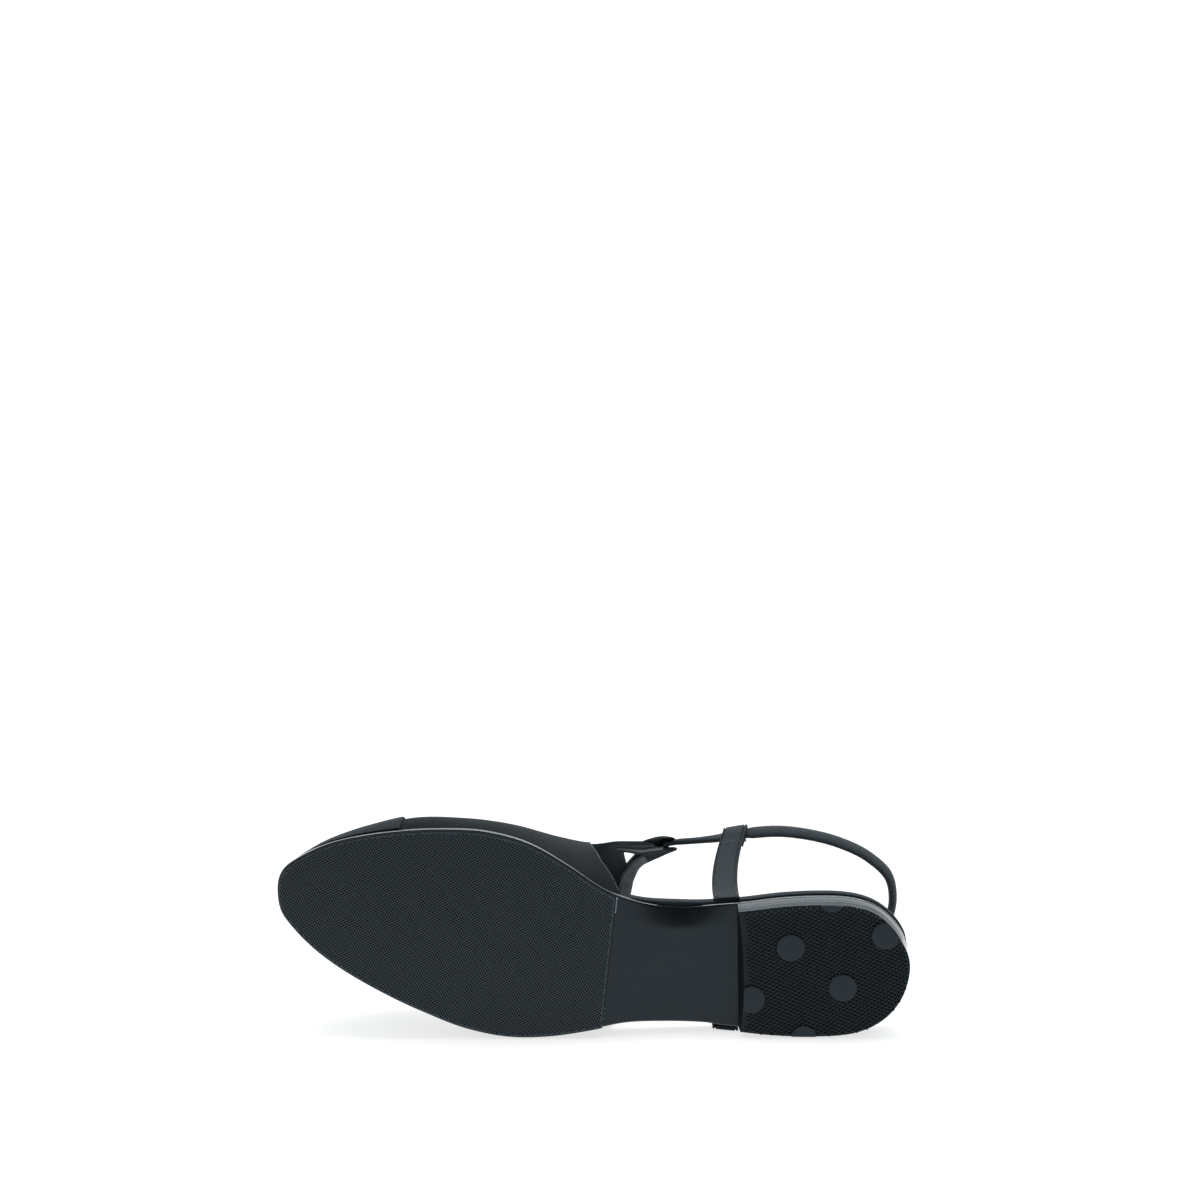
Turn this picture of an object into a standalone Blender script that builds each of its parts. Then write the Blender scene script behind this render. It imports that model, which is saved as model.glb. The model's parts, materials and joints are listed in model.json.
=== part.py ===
"""A right slingback flat that lies on its outer side, made of its maker's pieces.

Sizes are in millimetres in the shoe's own frame: x runs from the heel to the toe, y towards the
inner side of the foot, and z up from the plane that the heel and the forefoot would stand on. An
empty, the parent of all pieces, lays the shoe on its side with its sole facing -Y and its heel at +X.
"""

import math

import bmesh
import bpy
import numpy as np
from mathutils import Matrix, Vector

MM = 0.001
GAP = 0.3
MERGE = 1e-7
SHARP = math.radians(40.0)

# Thicknesses of the layers under the foot
TREAD_THICK = 1.5
SOLE_THICK = 2.3
LIFT_THICK = 3.0
BLOCK_THICK = 2.9
INSOLE_THICK = 2.2
RIM_THICK = 4.3

# Side view of the sole
HEEL_RISE = 4.7
WAIST_FRONT = 140.0
WAIST_BACK = 72.0
TOE_SPRING = 8.0
SPRING_START = 205.0
TREAD_BACK = 124.6
WAIST_ROLL = 1.5
WAIST_ROLL_WIDTH = 9.0
WAIST_ROLL_CENTRE = 95.0
WAIST_ROLL_LENGTH = 30.0

# Front face of the heel: where it crosses each edge, and how far its middle is hollowed
BREAST_INNER = 73.7
BREAST_OUTER = 66.9
BREAST_SAG = 0.8
BREAST_FADE = 4
HEEL_TURN = 0.4
LIFT_INSET = 0.2
LIFT_INNER_INSET = 1.0

# Upper, toe cap and insole, whose rim stands out most at the inner corner of the heel
WALL = 1.6
CAP_THICK = 1.1
FEATHER_INSET = 1.2
INSOLE_TOE_INSET = 2.0
RIM_INNER = 1.9
RIM_OUTER = 0.3
RIM_INNER_FULL = 5.0
RIM_CORNER = 1.6
RIM_CORNER_STATION = 18.0
RIM_CORNER_LENGTH = 24.0
RIM_FRONT = 118.5
RIM_BACK = 111.0
CAP_EDGE = 216.2
CAP_EDGE_BOW = 2.0

# Keyhole in the instep: station and girth of its three corners
KEYHOLE_COLUMNS = ("station", "girth")
KEYHOLE = (
    (121.4, 0.395),
    (116.6, 0.417),
    (119.4, 0.460),
)
KEYHOLE_DEPTH = 4.0

# Where the sling is sewn into the upper the wall swells
SEAT_LENGTH = 9.0
SEAT_GIRTH = 0.028
SEAT_OUT = 0.9
SEAT_IN = 1.2
TAB_GIRTH = 0.398
OUTER_SEAT_GIRTH = 0.64

# Straps and sling
STRAP_WIDTH = 10.0
STRAP_THICK = 1.4
SLING_HALF_THICK = 1.7
SLING_HALF_WIDTH = 3.3
SLING_END_RADIUS = 1.45

# Points that each piece is drawn with, along it and across it
SOLE_ROWS, SOLE_SPANS = 43, 7
TREAD_ROWS, TREAD_SPANS = 27, 5
HEEL_ROWS, HEEL_SPANS = 15, 6
INSOLE_BACK_ROWS, INSOLE_STEP_ROWS, INSOLE_FRONT_ROWS, INSOLE_SPANS = 21, 5, 25, 6
UPPER_ROWS, UPPER_WIDEST_SPAN = 24, 0.028
CAP_ROWS, CAP_GIRTHS = 13, 31
STRAP_ROWS, FOLD_ROWS, FLAP_ROWS = 15, 13, 2
SLING_ROWS, SLING_SIDES = 60, 10

# Finish of each piece: its colour and its roughness
FINISH = {
    "outsole": ((0.012, 0.013, 0.014), 0.35),
    "forefoot_tread": ((0.015, 0.016, 0.017), 0.7),
    "heel_top_lift": ((0.015, 0.016, 0.017), 0.7),
    "heel_block": ((0.02, 0.021, 0.022), 0.25),
    "insole": ((0.02, 0.02, 0.021), 0.55),
    "upper": ((0.012, 0.012, 0.013), 0.8),
    "toe_cap": ((0.014, 0.014, 0.015), 0.75),
    "inner_strap": ((0.012, 0.012, 0.013), 0.6),
    "outer_strap": ((0.012, 0.012, 0.013), 0.6),
    "sling": ((0.016, 0.016, 0.017), 0.8),
}

# How the shoe lies: its length turned against the floor line, and its sole leaning back
TURN = math.radians(6.0)
LEAN = math.radians(4.3)

# Plan of the outsole: y of its inner and outer edge at each station from the heel
PLAN_COLUMNS = ("station", "inner", "outer")
PLAN = (
    (1.6, 1.0, 1.0),
    (4.5, 11.6, -12.4),
    (10.0, 18.4, -19.9),
    (20.0, 24.3, -26.1),
    (36.0, 26.8, -29.4),
    (55.0, 24.4, -30.8),
    (75.0, 20.0, -30.7),
    (98.0, 17.4, -31.5),
    (116.0, 19.0, -33.5),
    (130.0, 23.2, -37.6),
    (146.0, 31.8, -41.6),
    (163.0, 39.4, -43.5),
    (180.0, 42.4, -41.9),
    (200.0, 41.5, -36.2),
    (222.0, 37.6, -28.0),
    (242.0, 30.9, -18.5),
    (257.0, 21.6, -7.6),
    (263.2, 15.2, -0.2),
    (264.8, 9.0, 9.0),
)

# Sections of the last: its ridge, at a height over the sole, and how far each side wall is drawn out
LAST_COLUMNS = ("station", "ridge_y", "ridge_rise", "inner_wall", "outer_wall")
LAST = (
    (92.0, 18.0, 73.9, 48.0, -40.0),
    (108.0, 14.5, 68.0, 48.0, -42.0),
    (120.0, 12.0, 64.1, 47.5, -43.5),
    (135.0, 9.5, 58.0, 42.8, -45.6),
    (150.0, 8.0, 51.6, 44.4, -46.4),
    (170.0, 6.5, 43.6, 48.6, -46.4),
    (190.0, 6.0, 36.6, 50.6, -41.5),
    (210.0, 6.0, 30.5, 50.0, -34.0),
    (230.0, 7.5, 24.2, 40.8, -25.0),
    (246.0, 9.0, 17.8, 30.4, -16.0),
    (257.0, 9.5, 12.0, 21.4, -7.0),
    (263.2, 9.5, 5.5, 15.2, 0.5),
    (264.8, 9.0, 0.0, 9.0, 9.0),
)
WALL_RISE = 0.40
CROWN = 0.56

# Upper's rear edge: station where it ends at each part of the girth, inner feather 0 to outer 1
TOPLINE_COLUMNS = ("girth", "station")
TOPLINE = (
    (0.0, 121.5),
    (0.044, 126.4),
    (0.083, 130.9),
    (0.15, 134.6),
    (0.22, 136.4),
    (0.285, 135.5),
    (0.305, 126.5),
    (0.315, 120.0),
    (0.328, 112.5),
    (0.345, 105.5),
    (0.375, 100.0),
    (0.405, 98.6),
    (0.43, 98.8),
    (0.45, 104.0),
    (0.466, 110.0),
    (0.495, 113.4),
    (0.525, 115.3),
    (0.56, 115.8),
    (0.64, 116.8),
    (0.80, 118.5),
    (1.0, 119.5),
)

# Ways of the straps and the sling, by the middle of each
ROUTE_COLUMNS = ("station", "side", "height")

# Side straps, from the footbed to under the sling
INNER_STRAP = (
    (79.2, 22.3, 9.0),
    (79.4, 22.7, 17.0),
    (79.0, 25.0, 29.0),
    (77.6, 29.2, 41.0),
    (75.8, 33.8, 50.0),
    (74.4, 38.4, 57.0),
)
OUTER_STRAP = (
    (73.2, -32.9, 9.0),
    (73.2, -32.3, 17.0),
    (73.0, -31.1, 29.0),
    (72.6, -29.8, 41.0),
    (72.2, -28.8, 50.0),
    (72.0, -28.5, 57.0),
)
LOOP_CLEAR = 0.6
FOLD_START = math.radians(-10.0)
FOLD_END = math.radians(200.0)
FLAP_STEP = STRAP_THICK + GAP
BASE_SWING = 0.05

# Sling, between its two seats in the upper and through both loops
SLING = (
    (86.5, 31.6, 66.4),
    (80.0, 34.1, 63.0),
    (73.8, 36.3, 61.0),
    (67.5, 38.1, 59.8),
    (55.0, 40.5, 58.6),
    (42.0, 40.9, 57.8),
    (29.0, 39.1, 57.3),
    (15.0, 33.4, 57.0),
    (5.4, 25.2, 57.0),
    (2.4, 15.5, 57.0),
    (2.9, 5.5, 57.0),
    (6.0, -6.0, 57.0),
    (15.0, -16.0, 57.0),
    (29.0, -21.8, 57.3),
    (42.0, -24.0, 57.8),
    (55.0, -25.1, 58.6),
    (65.0, -25.5, 60.2),
    (71.9, -25.6, 61.0),
    (79.0, -25.5, 61.4),
    (97.0, -24.2, 60.8),
)
INNER_LOOP = 2
OUTER_LOOP = 17
SLING_LEAD = 2.5
SEAT_CLEAR = 1.3
SLING_SLIM_LENGTH = 18.0


def column(table, names, name):
    """One named column of a table."""
    return np.array([row[names.index(name)] for row in table], float)


def through(knots, values, places):
    """A smooth curve through a table's values, read at the given places."""
    slopes = np.gradient(values, knots)
    places = np.clip(places, knots[0], knots[-1])
    left = np.clip(np.searchsorted(knots, places) - 1, 0, len(knots) - 2)
    step = knots[left + 1] - knots[left]
    t = (places - knots[left]) / step
    start = values[left] * (1 + 2 * t) * (1 - t) ** 2 + slopes[left] * step * t * (1 - t) ** 2
    end = values[left + 1] * (3 - 2 * t) * t**2 + slopes[left + 1] * step * t**2 * (t - 1)
    return start + end


def unit(vector):
    return vector / np.linalg.norm(vector)


def ease(t):
    """0 before 0, 1 after 1, and smooth between."""
    t = np.clip(t, 0.0, 1.0)
    return t * t * (3 - 2 * t)


# Plan and side view of the sole

HEEL_TIP = PLAN[0][0]
TOE_TIP = PLAN[-1][0]


def sweep_of(station):
    """Angle that goes from 0 at the heel to pi at the toe and gives both ends their round shape."""
    return np.arccos(np.clip(1 - 2 * (station - HEEL_TIP) / (TOE_TIP - HEEL_TIP), -1, 1))


def station_of(angle):
    return HEEL_TIP + (TOE_TIP - HEEL_TIP) * (1 - np.cos(angle)) / 2


def plan_edge(angle, side, rim=0.0):
    """Points (x, y) of the sole's inner or outer edge, moved outwards by rim."""
    knots = sweep_of(column(PLAN, PLAN_COLUMNS, "station"))
    reach = column(PLAN, PLAN_COLUMNS, side)
    angle = np.asarray(angle, float)
    nudge = 1e-4
    before = np.clip(angle - nudge, 0, math.pi)
    after = np.clip(angle + nudge, 0, math.pi)
    along_x = station_of(after) - station_of(before)
    along_x = np.where((before <= 0) | (after >= math.pi), 0.0, along_x)
    along_y = through(knots, reach, after) - through(knots, reach, before)
    length = np.hypot(along_x, along_y)
    outwards = 1.0 if side == "inner" else -1.0
    x = station_of(angle) - outwards * rim * along_y / length
    y = through(knots, reach, angle) + outwards * rim * along_x / length
    return np.stack([x, y], axis=-1)


def ground(station):
    """Height of the tread's underside: flat at the ball, rising to the heel and to the toe."""
    rise = HEEL_RISE * ease((WAIST_FRONT - station) / (WAIST_FRONT - WAIST_BACK))
    spring = np.maximum(0.0, (station - SPRING_START) / (TOE_TIP - SPRING_START)) ** 2
    return rise + TOE_SPRING * spring


def sole_bottom(station):
    return ground(station) + TREAD_THICK + GAP


def sole_top(station):
    return sole_bottom(station) + SOLE_THICK


# Surface of the last

def section_columns(angle):
    knots = sweep_of(column(LAST, LAST_COLUMNS, "station"))
    return [through(knots, column(LAST, LAST_COLUMNS, name), angle) for name in LAST_COLUMNS[1:]]


def bezier(t, points):
    a, b, c, d = points
    return a * (1 - t) ** 3 + 3 * b * t * (1 - t) ** 2 + 3 * c * t**2 * (1 - t) + d * t**3


def last_point(angle, girth):
    """Point of the last: girth 0 is its inner feather, 0.5 its ridge and 1 its outer feather."""
    angle, girth = np.broadcast_arrays(np.asarray(angle, float), np.asarray(girth, float))
    ridge_y, ridge_rise, inner_wall, outer_wall = section_columns(angle)
    inner = plan_edge(angle, "inner", -FEATHER_INSET)
    outer = plan_edge(angle, "outer", -FEATHER_INSET)
    is_inner = girth <= 0.5
    t = np.where(is_inner, 2 * girth, 2 * (1 - girth))
    foot = np.where(is_inner[..., None], inner, outer)
    wall = np.where(is_inner, inner_wall, outer_wall)
    ridge_x = (inner[..., 0] + outer[..., 0]) / 2
    foot_z = sole_top(foot[..., 0]) + GAP
    ridge_z = sole_top(ridge_x) + GAP + ridge_rise
    wall_z = foot_z + WALL_RISE * (ridge_z - foot_z)
    crown_y = ridge_y + CROWN * (wall - ridge_y)
    x = bezier(t, (foot[..., 0], foot[..., 0], ridge_x, ridge_x))
    y = bezier(t, (foot[..., 1], wall, crown_y, ridge_y))
    z = bezier(t, (foot_z, wall_z, ridge_z, ridge_z))
    return np.stack([x, y, z], axis=-1)


def last_normal(angle, girth):
    nudge = 1e-3
    angle, girth = np.broadcast_arrays(np.asarray(angle, float), np.asarray(girth, float))
    inside = np.minimum(angle, math.pi - nudge)
    lengthwise = last_point(inside + nudge, girth) - last_point(inside - nudge, girth)
    more = np.minimum(girth + nudge, 1.0)
    less = np.maximum(girth - nudge, 0.0)
    crosswise = last_point(inside, more) - last_point(inside, less)
    normal = np.cross(crosswise, lengthwise)
    normal /= np.linalg.norm(normal, axis=-1, keepdims=True)
    at_tip = (angle > math.pi - nudge)[..., None]
    return np.where(at_tip, np.array([1.0, 0.0, 0.0]), normal)


def over_last(angle, girth, height):
    """Point at a height over the last, kept just above the sole."""
    point = last_point(angle, girth) + last_normal(angle, girth) * np.asarray(height)[..., None]
    point[..., 2] = np.maximum(point[..., 2], sole_top(point[..., 0]) + GAP)
    return point


# Meshes

def material(name):
    colour, roughness = FINISH[name]
    made = bpy.data.materials.new(name)
    made.use_nodes = True
    shader = made.node_tree.nodes["Principled BSDF"]
    shader.inputs["Base Color"].default_value = (*colour, 1.0)
    shader.inputs["Roughness"].default_value = roughness
    return made


def add_mesh(name, points, faces, group):
    """An object from points in millimetres; faces that have shrunk to a line are dissolved."""
    mesh = bpy.data.meshes.new(name)
    mesh.from_pydata((np.asarray(points) * MM).tolist(), [], faces)
    shape = bmesh.new()
    shape.from_mesh(mesh)
    bmesh.ops.remove_doubles(shape, verts=shape.verts, dist=MERGE)
    bmesh.ops.dissolve_degenerate(shape, edges=shape.edges, dist=MERGE)
    if shape.calc_volume(signed=True) < 0:
        bmesh.ops.reverse_faces(shape, faces=shape.faces)
    shape.to_mesh(mesh)
    shape.free()
    mesh.shade_smooth()
    mesh.set_sharp_from_angle(angle=SHARP)
    if name in FINISH:
        mesh.materials.append(material(name))
    piece = bpy.data.objects.new(name, mesh)
    group.objects.link(piece)
    piece.parent = REST
    return piece


def between(name, upper, lower):
    """A closed solid between two grids of points of one shape, with rims round their four sides."""
    rows, across = upper.shape[:2]
    count = rows * across
    index = np.arange(count).reshape(rows, across)
    faces = []
    for i in range(rows - 1):
        for j in range(across - 1):
            corner = [index[i, j], index[i + 1, j], index[i + 1, j + 1], index[i, j + 1]]
            faces.append([int(v) for v in corner])
            faces.append([int(v) + count for v in reversed(corner)])
    loop = [*index[0, :], *index[1:, -1], *index[-1, -2::-1], *index[-2:0:-1, 0]]
    for a, b in zip(loop, loop[1:] + loop[:1]):
        faces.append([int(a), int(b), int(b) + count, int(a) + count])
    points = np.concatenate([upper.reshape(-1, 3), lower.reshape(-1, 3)])
    return add_mesh(name, points, faces, SHOE)


def sweep(name, rings, group):
    """A closed solid through rings of points, with a flat cap at each end."""
    count, sides = rings.shape[:2]
    faces = [list(reversed(range(sides))), list(range((count - 1) * sides, count * sides))]
    for i in range(count - 1):
        for j in range(sides):
            k = (j + 1) % sides
            faces.append([i * sides + j, i * sides + k, (i + 1) * sides + k, (i + 1) * sides + j])
    return add_mesh(name, rings.reshape(-1, 3), faces, group)


def plan_grid(inner, outer, spans):
    """Rows of points (x, y) from the inner to the outer edge."""
    share = np.linspace(0, 1, spans + 1)[None, :, None]
    return inner[:, None, :] * (1 - share) + outer[:, None, :] * share


def at_height(grid, height):
    height = np.broadcast_to(height, grid.shape[:2])
    return np.concatenate([grid, height[..., None]], axis=-1)


def smooth_route(rows, samples):
    """Points along a smooth curve through a route's rows, evenly spaced."""
    columns = [column(rows, ROUTE_COLUMNS, name) for name in ROUTE_COLUMNS]
    steps = np.linalg.norm(np.diff(columns, axis=1), axis=0)
    knots = np.concatenate([[0], np.cumsum(steps)])
    places = np.linspace(0, knots[-1], samples)
    return np.stack([through(knots, values, places) for values in columns], axis=-1)


# Pieces under the foot

def make_outsole():
    angle = np.linspace(0, math.pi, SOLE_ROWS)
    inner = plan_edge(angle, "inner")
    grid = plan_grid(inner, plan_edge(angle, "outer"), SOLE_SPANS)
    top = sole_top(grid[..., 0])
    from_edge = inner[:, None, 1] - grid[..., 1]
    along = np.abs(grid[..., 0] - WAIST_ROLL_CENTRE) / WAIST_ROLL_LENGTH
    roll = WAIST_ROLL * ease(1 - from_edge / WAIST_ROLL_WIDTH) * ease(1 - along)
    bottom = sole_bottom(grid[..., 0]) + roll
    between("outsole", at_height(grid, top), at_height(grid, bottom))


def make_forefoot_tread():
    angle = np.linspace(sweep_of(TREAD_BACK), math.pi, TREAD_ROWS)
    inner = plan_edge(angle, "inner", -GAP / 2)
    grid = plan_grid(inner, plan_edge(angle, "outer", -GAP / 2), TREAD_SPANS)
    bottom = ground(grid[..., 0])
    between("forefoot_tread", at_height(grid, bottom + TREAD_THICK), at_height(grid, bottom))


def heel_grid(inset, inner_inset):
    """Plan of the heel, which ends at its slanted and slightly hollow front face."""
    share = np.linspace(0, 1, HEEL_ROWS)
    deeper = (inner_inset - inset) * ease(share / HEEL_TURN)
    inner = plan_edge(share * sweep_of(BREAST_INNER), "inner", -inset - deeper)
    outer = plan_edge(share * sweep_of(BREAST_OUTER), "outer", -inset)
    grid = plan_grid(inner, outer, HEEL_SPANS)
    across = np.linspace(-1, 1, grid.shape[1])
    grid[..., 0] -= BREAST_SAG * share[:, None] ** BREAST_FADE * (1 - across[None, :] ** 2)
    return grid


def make_heel():
    lift = heel_grid(LIFT_INSET, LIFT_INNER_INSET)
    between("heel_top_lift", at_height(lift, LIFT_THICK), at_height(lift, 0.0))
    block = heel_grid(0.0, 0.0)
    floor = LIFT_THICK + GAP
    between("heel_block", at_height(block, floor + BLOCK_THICK), at_height(block, floor))


def make_insole():
    steps = sweep_of(np.linspace(RIM_BACK, RIM_FRONT, INSOLE_STEP_ROWS))
    back = np.linspace(0, steps[0], INSOLE_BACK_ROWS)
    front = np.linspace(steps[-1], math.pi, INSOLE_FRONT_ROWS)
    angle = np.concatenate([back[:-1], steps, front[1:]])
    station = station_of(angle)
    in_upper = ease((station - RIM_BACK) / (RIM_FRONT - RIM_BACK))
    toe = ease((station - CAP_EDGE) / (TOE_TIP - CAP_EDGE))
    inset = -FEATHER_INSET - WALL - GAP - INSOLE_TOE_INSET * toe
    corner = RIM_CORNER * ease(1 - np.abs(station - RIM_CORNER_STATION) / RIM_CORNER_LENGTH)
    full = ease((station - HEEL_TIP) / RIM_INNER_FULL)
    inner_rim = RIM_OUTER + (RIM_INNER - RIM_OUTER + corner) * full
    inner = plan_edge(angle, "inner", inner_rim + in_upper * (inset - inner_rim))
    outer = plan_edge(angle, "outer", RIM_OUTER + in_upper * (inset - RIM_OUTER))
    grid = plan_grid(inner, outer, INSOLE_SPANS)
    bottom = sole_top(grid[..., 0]) + GAP
    thick = RIM_THICK + in_upper[:, None] * (INSOLE_THICK - RIM_THICK)
    between("insole", at_height(grid, bottom + thick), at_height(grid, bottom))


# Upper and toe cap

def seat_swell(station, girth, seat):
    """1 at a sling end's seat in the upper's rear edge, fading forwards and sideways."""
    edge = topline(seat)
    return ease(1 - (station - edge) / SEAT_LENGTH) * ease(1 - np.abs(girth - seat) / SEAT_GIRTH)


def topline(girth):
    knots = column(TOPLINE, TOPLINE_COLUMNS, "girth")
    return np.interp(girth, knots, column(TOPLINE, TOPLINE_COLUMNS, "station"))


def upper_grid(edge, girth, rows):
    """Angles and girths of a grid that runs from a rear edge to the toe."""
    share = np.linspace(0, 1, rows)[None, :]
    start = sweep_of(edge)[:, None]
    angle = start + (math.pi - start) * share
    return angle, np.broadcast_to(girth[:, None], angle.shape)


def make_upper():
    knots = column(TOPLINE, TOPLINE_COLUMNS, "girth")
    counts = 1 + np.ceil(np.diff(knots) / UPPER_WIDEST_SPAN).astype(int)
    spans = [np.linspace(a, b, count)[:-1] for a, b, count in zip(knots, knots[1:], counts)]
    girth = np.append(np.concatenate(spans), knots[-1])
    angle, girth = upper_grid(topline(girth), girth, UPPER_ROWS)
    station = station_of(angle)
    swell = seat_swell(station, girth, TAB_GIRTH) + seat_swell(station, girth, OUTER_SEAT_GIRTH)
    outside = over_last(angle, girth, SEAT_OUT * swell)
    inside = over_last(angle, girth, -WALL - SEAT_IN * swell)
    cut_keyhole(between("upper", outside, inside))


def cut_keyhole(upper):
    station, girth = (column(KEYHOLE, KEYHOLE_COLUMNS, name) for name in KEYHOLE_COLUMNS)
    middle = last_normal(sweep_of(station.mean()), girth.mean())
    corners = last_point(sweep_of(station), girth)
    rings = np.stack([corners - KEYHOLE_DEPTH * middle, corners + KEYHOLE_DEPTH * middle])
    cutter = sweep("keyhole_cutter", rings, CUTTERS)
    cutter.hide_render = True
    cutter.display_type = "WIRE"
    cut = upper.modifiers.new("keyhole", "BOOLEAN")
    cut.operation = "DIFFERENCE"
    cut.object = cutter


def make_toe_cap():
    girth = np.linspace(0, 1, CAP_GIRTHS)
    edge = CAP_EDGE - CAP_EDGE_BOW * np.sin(math.pi * girth)
    angle, girth = upper_grid(edge, girth, CAP_ROWS)
    outside = over_last(angle, girth, np.full(angle.shape, GAP + CAP_THICK))
    inside = over_last(angle, girth, np.full(angle.shape, GAP))
    between("toe_cap", outside, inside)


# Straps and sling

def edge_normals(route, widths):
    """Directions square to a strap's face."""
    along = np.gradient(route, axis=0)
    normals = np.cross(along, widths)
    return normals / np.linalg.norm(normals, axis=1, keepdims=True)


def ribbon(name, route, widths):
    """A flat strap along a route, with the direction of its width at each point."""
    half = widths * STRAP_WIDTH / 2
    out = edge_normals(route, widths) * STRAP_THICK / 2
    corners = [half + out, out - half, -half - out, half - out]
    sweep(name, np.stack([route + corner for corner in corners], axis=1), SHOE)


def make_strap(name, rows, loop, side):
    """A strap that climbs from the footbed, folds over the sling and ends in a flap inside."""
    outwards = 1.0 if side == "inner" else -1.0
    climb = smooth_route(rows, STRAP_ROWS)
    centre = np.array(SLING[loop])
    top_width = unit(np.array(SLING[loop - 1]) - np.array(SLING[loop + 1])) * outwards
    base = sweep_of(rows[0][0])
    edge = plan_edge(base + BASE_SWING, side) - plan_edge(base - BASE_SWING, side)
    base_width = unit(np.append(edge, 0.0))
    share = ease(np.linspace(0, 1, len(climb)))[:, None]
    widths = base_width * (1 - share) + top_width * share
    clear = LOOP_CLEAR + STRAP_THICK / 2
    turn = np.linspace(FOLD_START, FOLD_END, FOLD_ROWS)
    fold = np.tile(centre, (len(turn), 1))
    fold[:, 1] += outwards * (SLING_HALF_THICK + clear) * np.cos(turn)
    fold[:, 2] += (SLING_HALF_WIDTH + clear) * np.sin(turn)
    inwards = -outwards * edge_normals(climb, widths)
    flap = (climb + FLAP_STEP * inwards)[-2 : -2 - FLAP_ROWS : -1]
    route = np.concatenate([climb, fold, flap])
    widths = np.concatenate([widths, np.tile(top_width, (len(fold) + len(flap), 1))])
    ribbon(name, route, widths)


def seat_points(girth, next_row):
    """Two points of a sling end, from the middle of the upper's swollen rear edge towards its loop."""
    middle = over_last(sweep_of(topline(girth)), girth, (SEAT_OUT - SEAT_IN - WALL) / 2)
    back = unit(np.array(next_row) - middle)
    return [middle + SEAT_CLEAR * back, middle + (SEAT_CLEAR + SLING_LEAD) * back]


def make_sling():
    front = seat_points(TAB_GIRTH, SLING[0])
    back = seat_points(OUTER_SEAT_GIRTH, SLING[-1])
    route = smooth_route([*front, *SLING, *reversed(back)], SLING_ROWS)
    along = np.gradient(route, axis=0)
    along /= np.linalg.norm(along, axis=1, keepdims=True)
    up = np.array([0.0, 0.0, 1.0])
    wide = up - along * along[:, 2:3]
    wide /= np.linalg.norm(wide, axis=1, keepdims=True)
    thick = np.cross(wide, along)
    inner, outer = SLING[INNER_LOOP][0], SLING[OUTER_LOOP][0]
    ahead = np.where(route[:, 1] > 0, route[:, 0] - inner, route[:, 0] - outer)
    slim = ease(ahead / SLING_SLIM_LENGTH)[:, None]
    half_thick = SLING_HALF_THICK + slim * (SLING_END_RADIUS - SLING_HALF_THICK)
    half_wide = SLING_HALF_WIDTH + slim * (SLING_END_RADIUS - SLING_HALF_WIDTH)
    turns = np.linspace(0, 2 * math.pi, SLING_SIDES, endpoint=False)
    reach = [thick * half_thick * math.cos(a) + wide * half_wide * math.sin(a) for a in turns]
    sweep("sling", np.stack([route + offset for offset in reach], axis=1), SHOE)


# Assembly

def lay_on_side():
    """Turns the shoe onto its outer side and sets the origin under the middle of its box."""
    length = Vector((-math.cos(TURN), math.sin(TURN) * math.sin(LEAN), math.sin(TURN) * math.cos(LEAN)))
    inwards = Vector((math.sin(TURN), math.cos(TURN) * math.sin(LEAN), math.cos(TURN) * math.cos(LEAN)))
    turned = Matrix((length, inwards, length.cross(inwards))).transposed()
    corners = []
    for piece in SHOE.objects:
        corners += [turned @ vertex.co for vertex in getattr(piece.data, "vertices", [])]
    corners = np.array(corners)
    low, high = corners.min(axis=0), corners.max(axis=0)
    REST.rotation_euler = turned.to_euler()
    REST.location = (-(low[0] + high[0]) / 2, -(low[1] + high[1]) / 2, -low[2])


for old in list(bpy.data.objects):
    bpy.data.objects.remove(old)
SHOE = bpy.data.collections.new("slingback_shoe")
CUTTERS = bpy.data.collections.new("cutters")
for group in (SHOE, CUTTERS):
    bpy.context.scene.collection.children.link(group)
REST = bpy.data.objects.new("shoe_on_its_side", None)
SHOE.objects.link(REST)

make_outsole()
make_forefoot_tread()
make_heel()
make_insole()
make_upper()
make_toe_cap()
make_strap("inner_strap", INNER_STRAP, INNER_LOOP, "inner")
make_strap("outer_strap", OUTER_STRAP, OUTER_LOOP, "outer")
make_sling()
lay_on_side()
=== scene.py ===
"""Looks of the slingback shoe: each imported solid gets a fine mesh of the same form.

Sizes are in millimetres in the shoe's own frame, as in the part's source: x runs from the heel to the
toe, y towards the inner side of the foot, and z up from the plane that heel and forefoot stand on. The
packed mounts say how that frame lies on the floor.
"""

import json
import math

import bmesh
import bpy
import numpy as np
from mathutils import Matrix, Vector, geometry


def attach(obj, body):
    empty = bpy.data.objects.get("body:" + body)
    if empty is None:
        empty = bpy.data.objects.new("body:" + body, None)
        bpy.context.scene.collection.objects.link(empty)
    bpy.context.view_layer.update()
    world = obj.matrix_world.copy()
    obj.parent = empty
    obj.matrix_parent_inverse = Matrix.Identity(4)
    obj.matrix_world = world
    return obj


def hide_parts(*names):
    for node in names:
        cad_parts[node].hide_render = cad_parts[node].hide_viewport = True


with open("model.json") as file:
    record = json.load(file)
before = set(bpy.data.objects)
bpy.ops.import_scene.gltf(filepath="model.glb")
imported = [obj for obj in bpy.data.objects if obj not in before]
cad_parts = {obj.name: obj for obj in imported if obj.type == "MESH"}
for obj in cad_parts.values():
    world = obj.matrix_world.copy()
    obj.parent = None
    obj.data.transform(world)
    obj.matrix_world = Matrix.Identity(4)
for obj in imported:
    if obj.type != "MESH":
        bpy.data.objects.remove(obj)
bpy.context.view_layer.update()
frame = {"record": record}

# Millimetres in metres, the gap between solids, and how near points count as one
MM = 0.001
GAP = 0.3
MERGE = 1e-7
TREAD_MERGE = 2e-6
NEAR = 1e-6
SHARP = math.radians(38.0)

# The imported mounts, by their place on the shoe
HEEL_REST = np.array([38.7, -1.4, 0.0])
FOREFOOT_REST = np.array([172.0, 0.0, 0.0])

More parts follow.
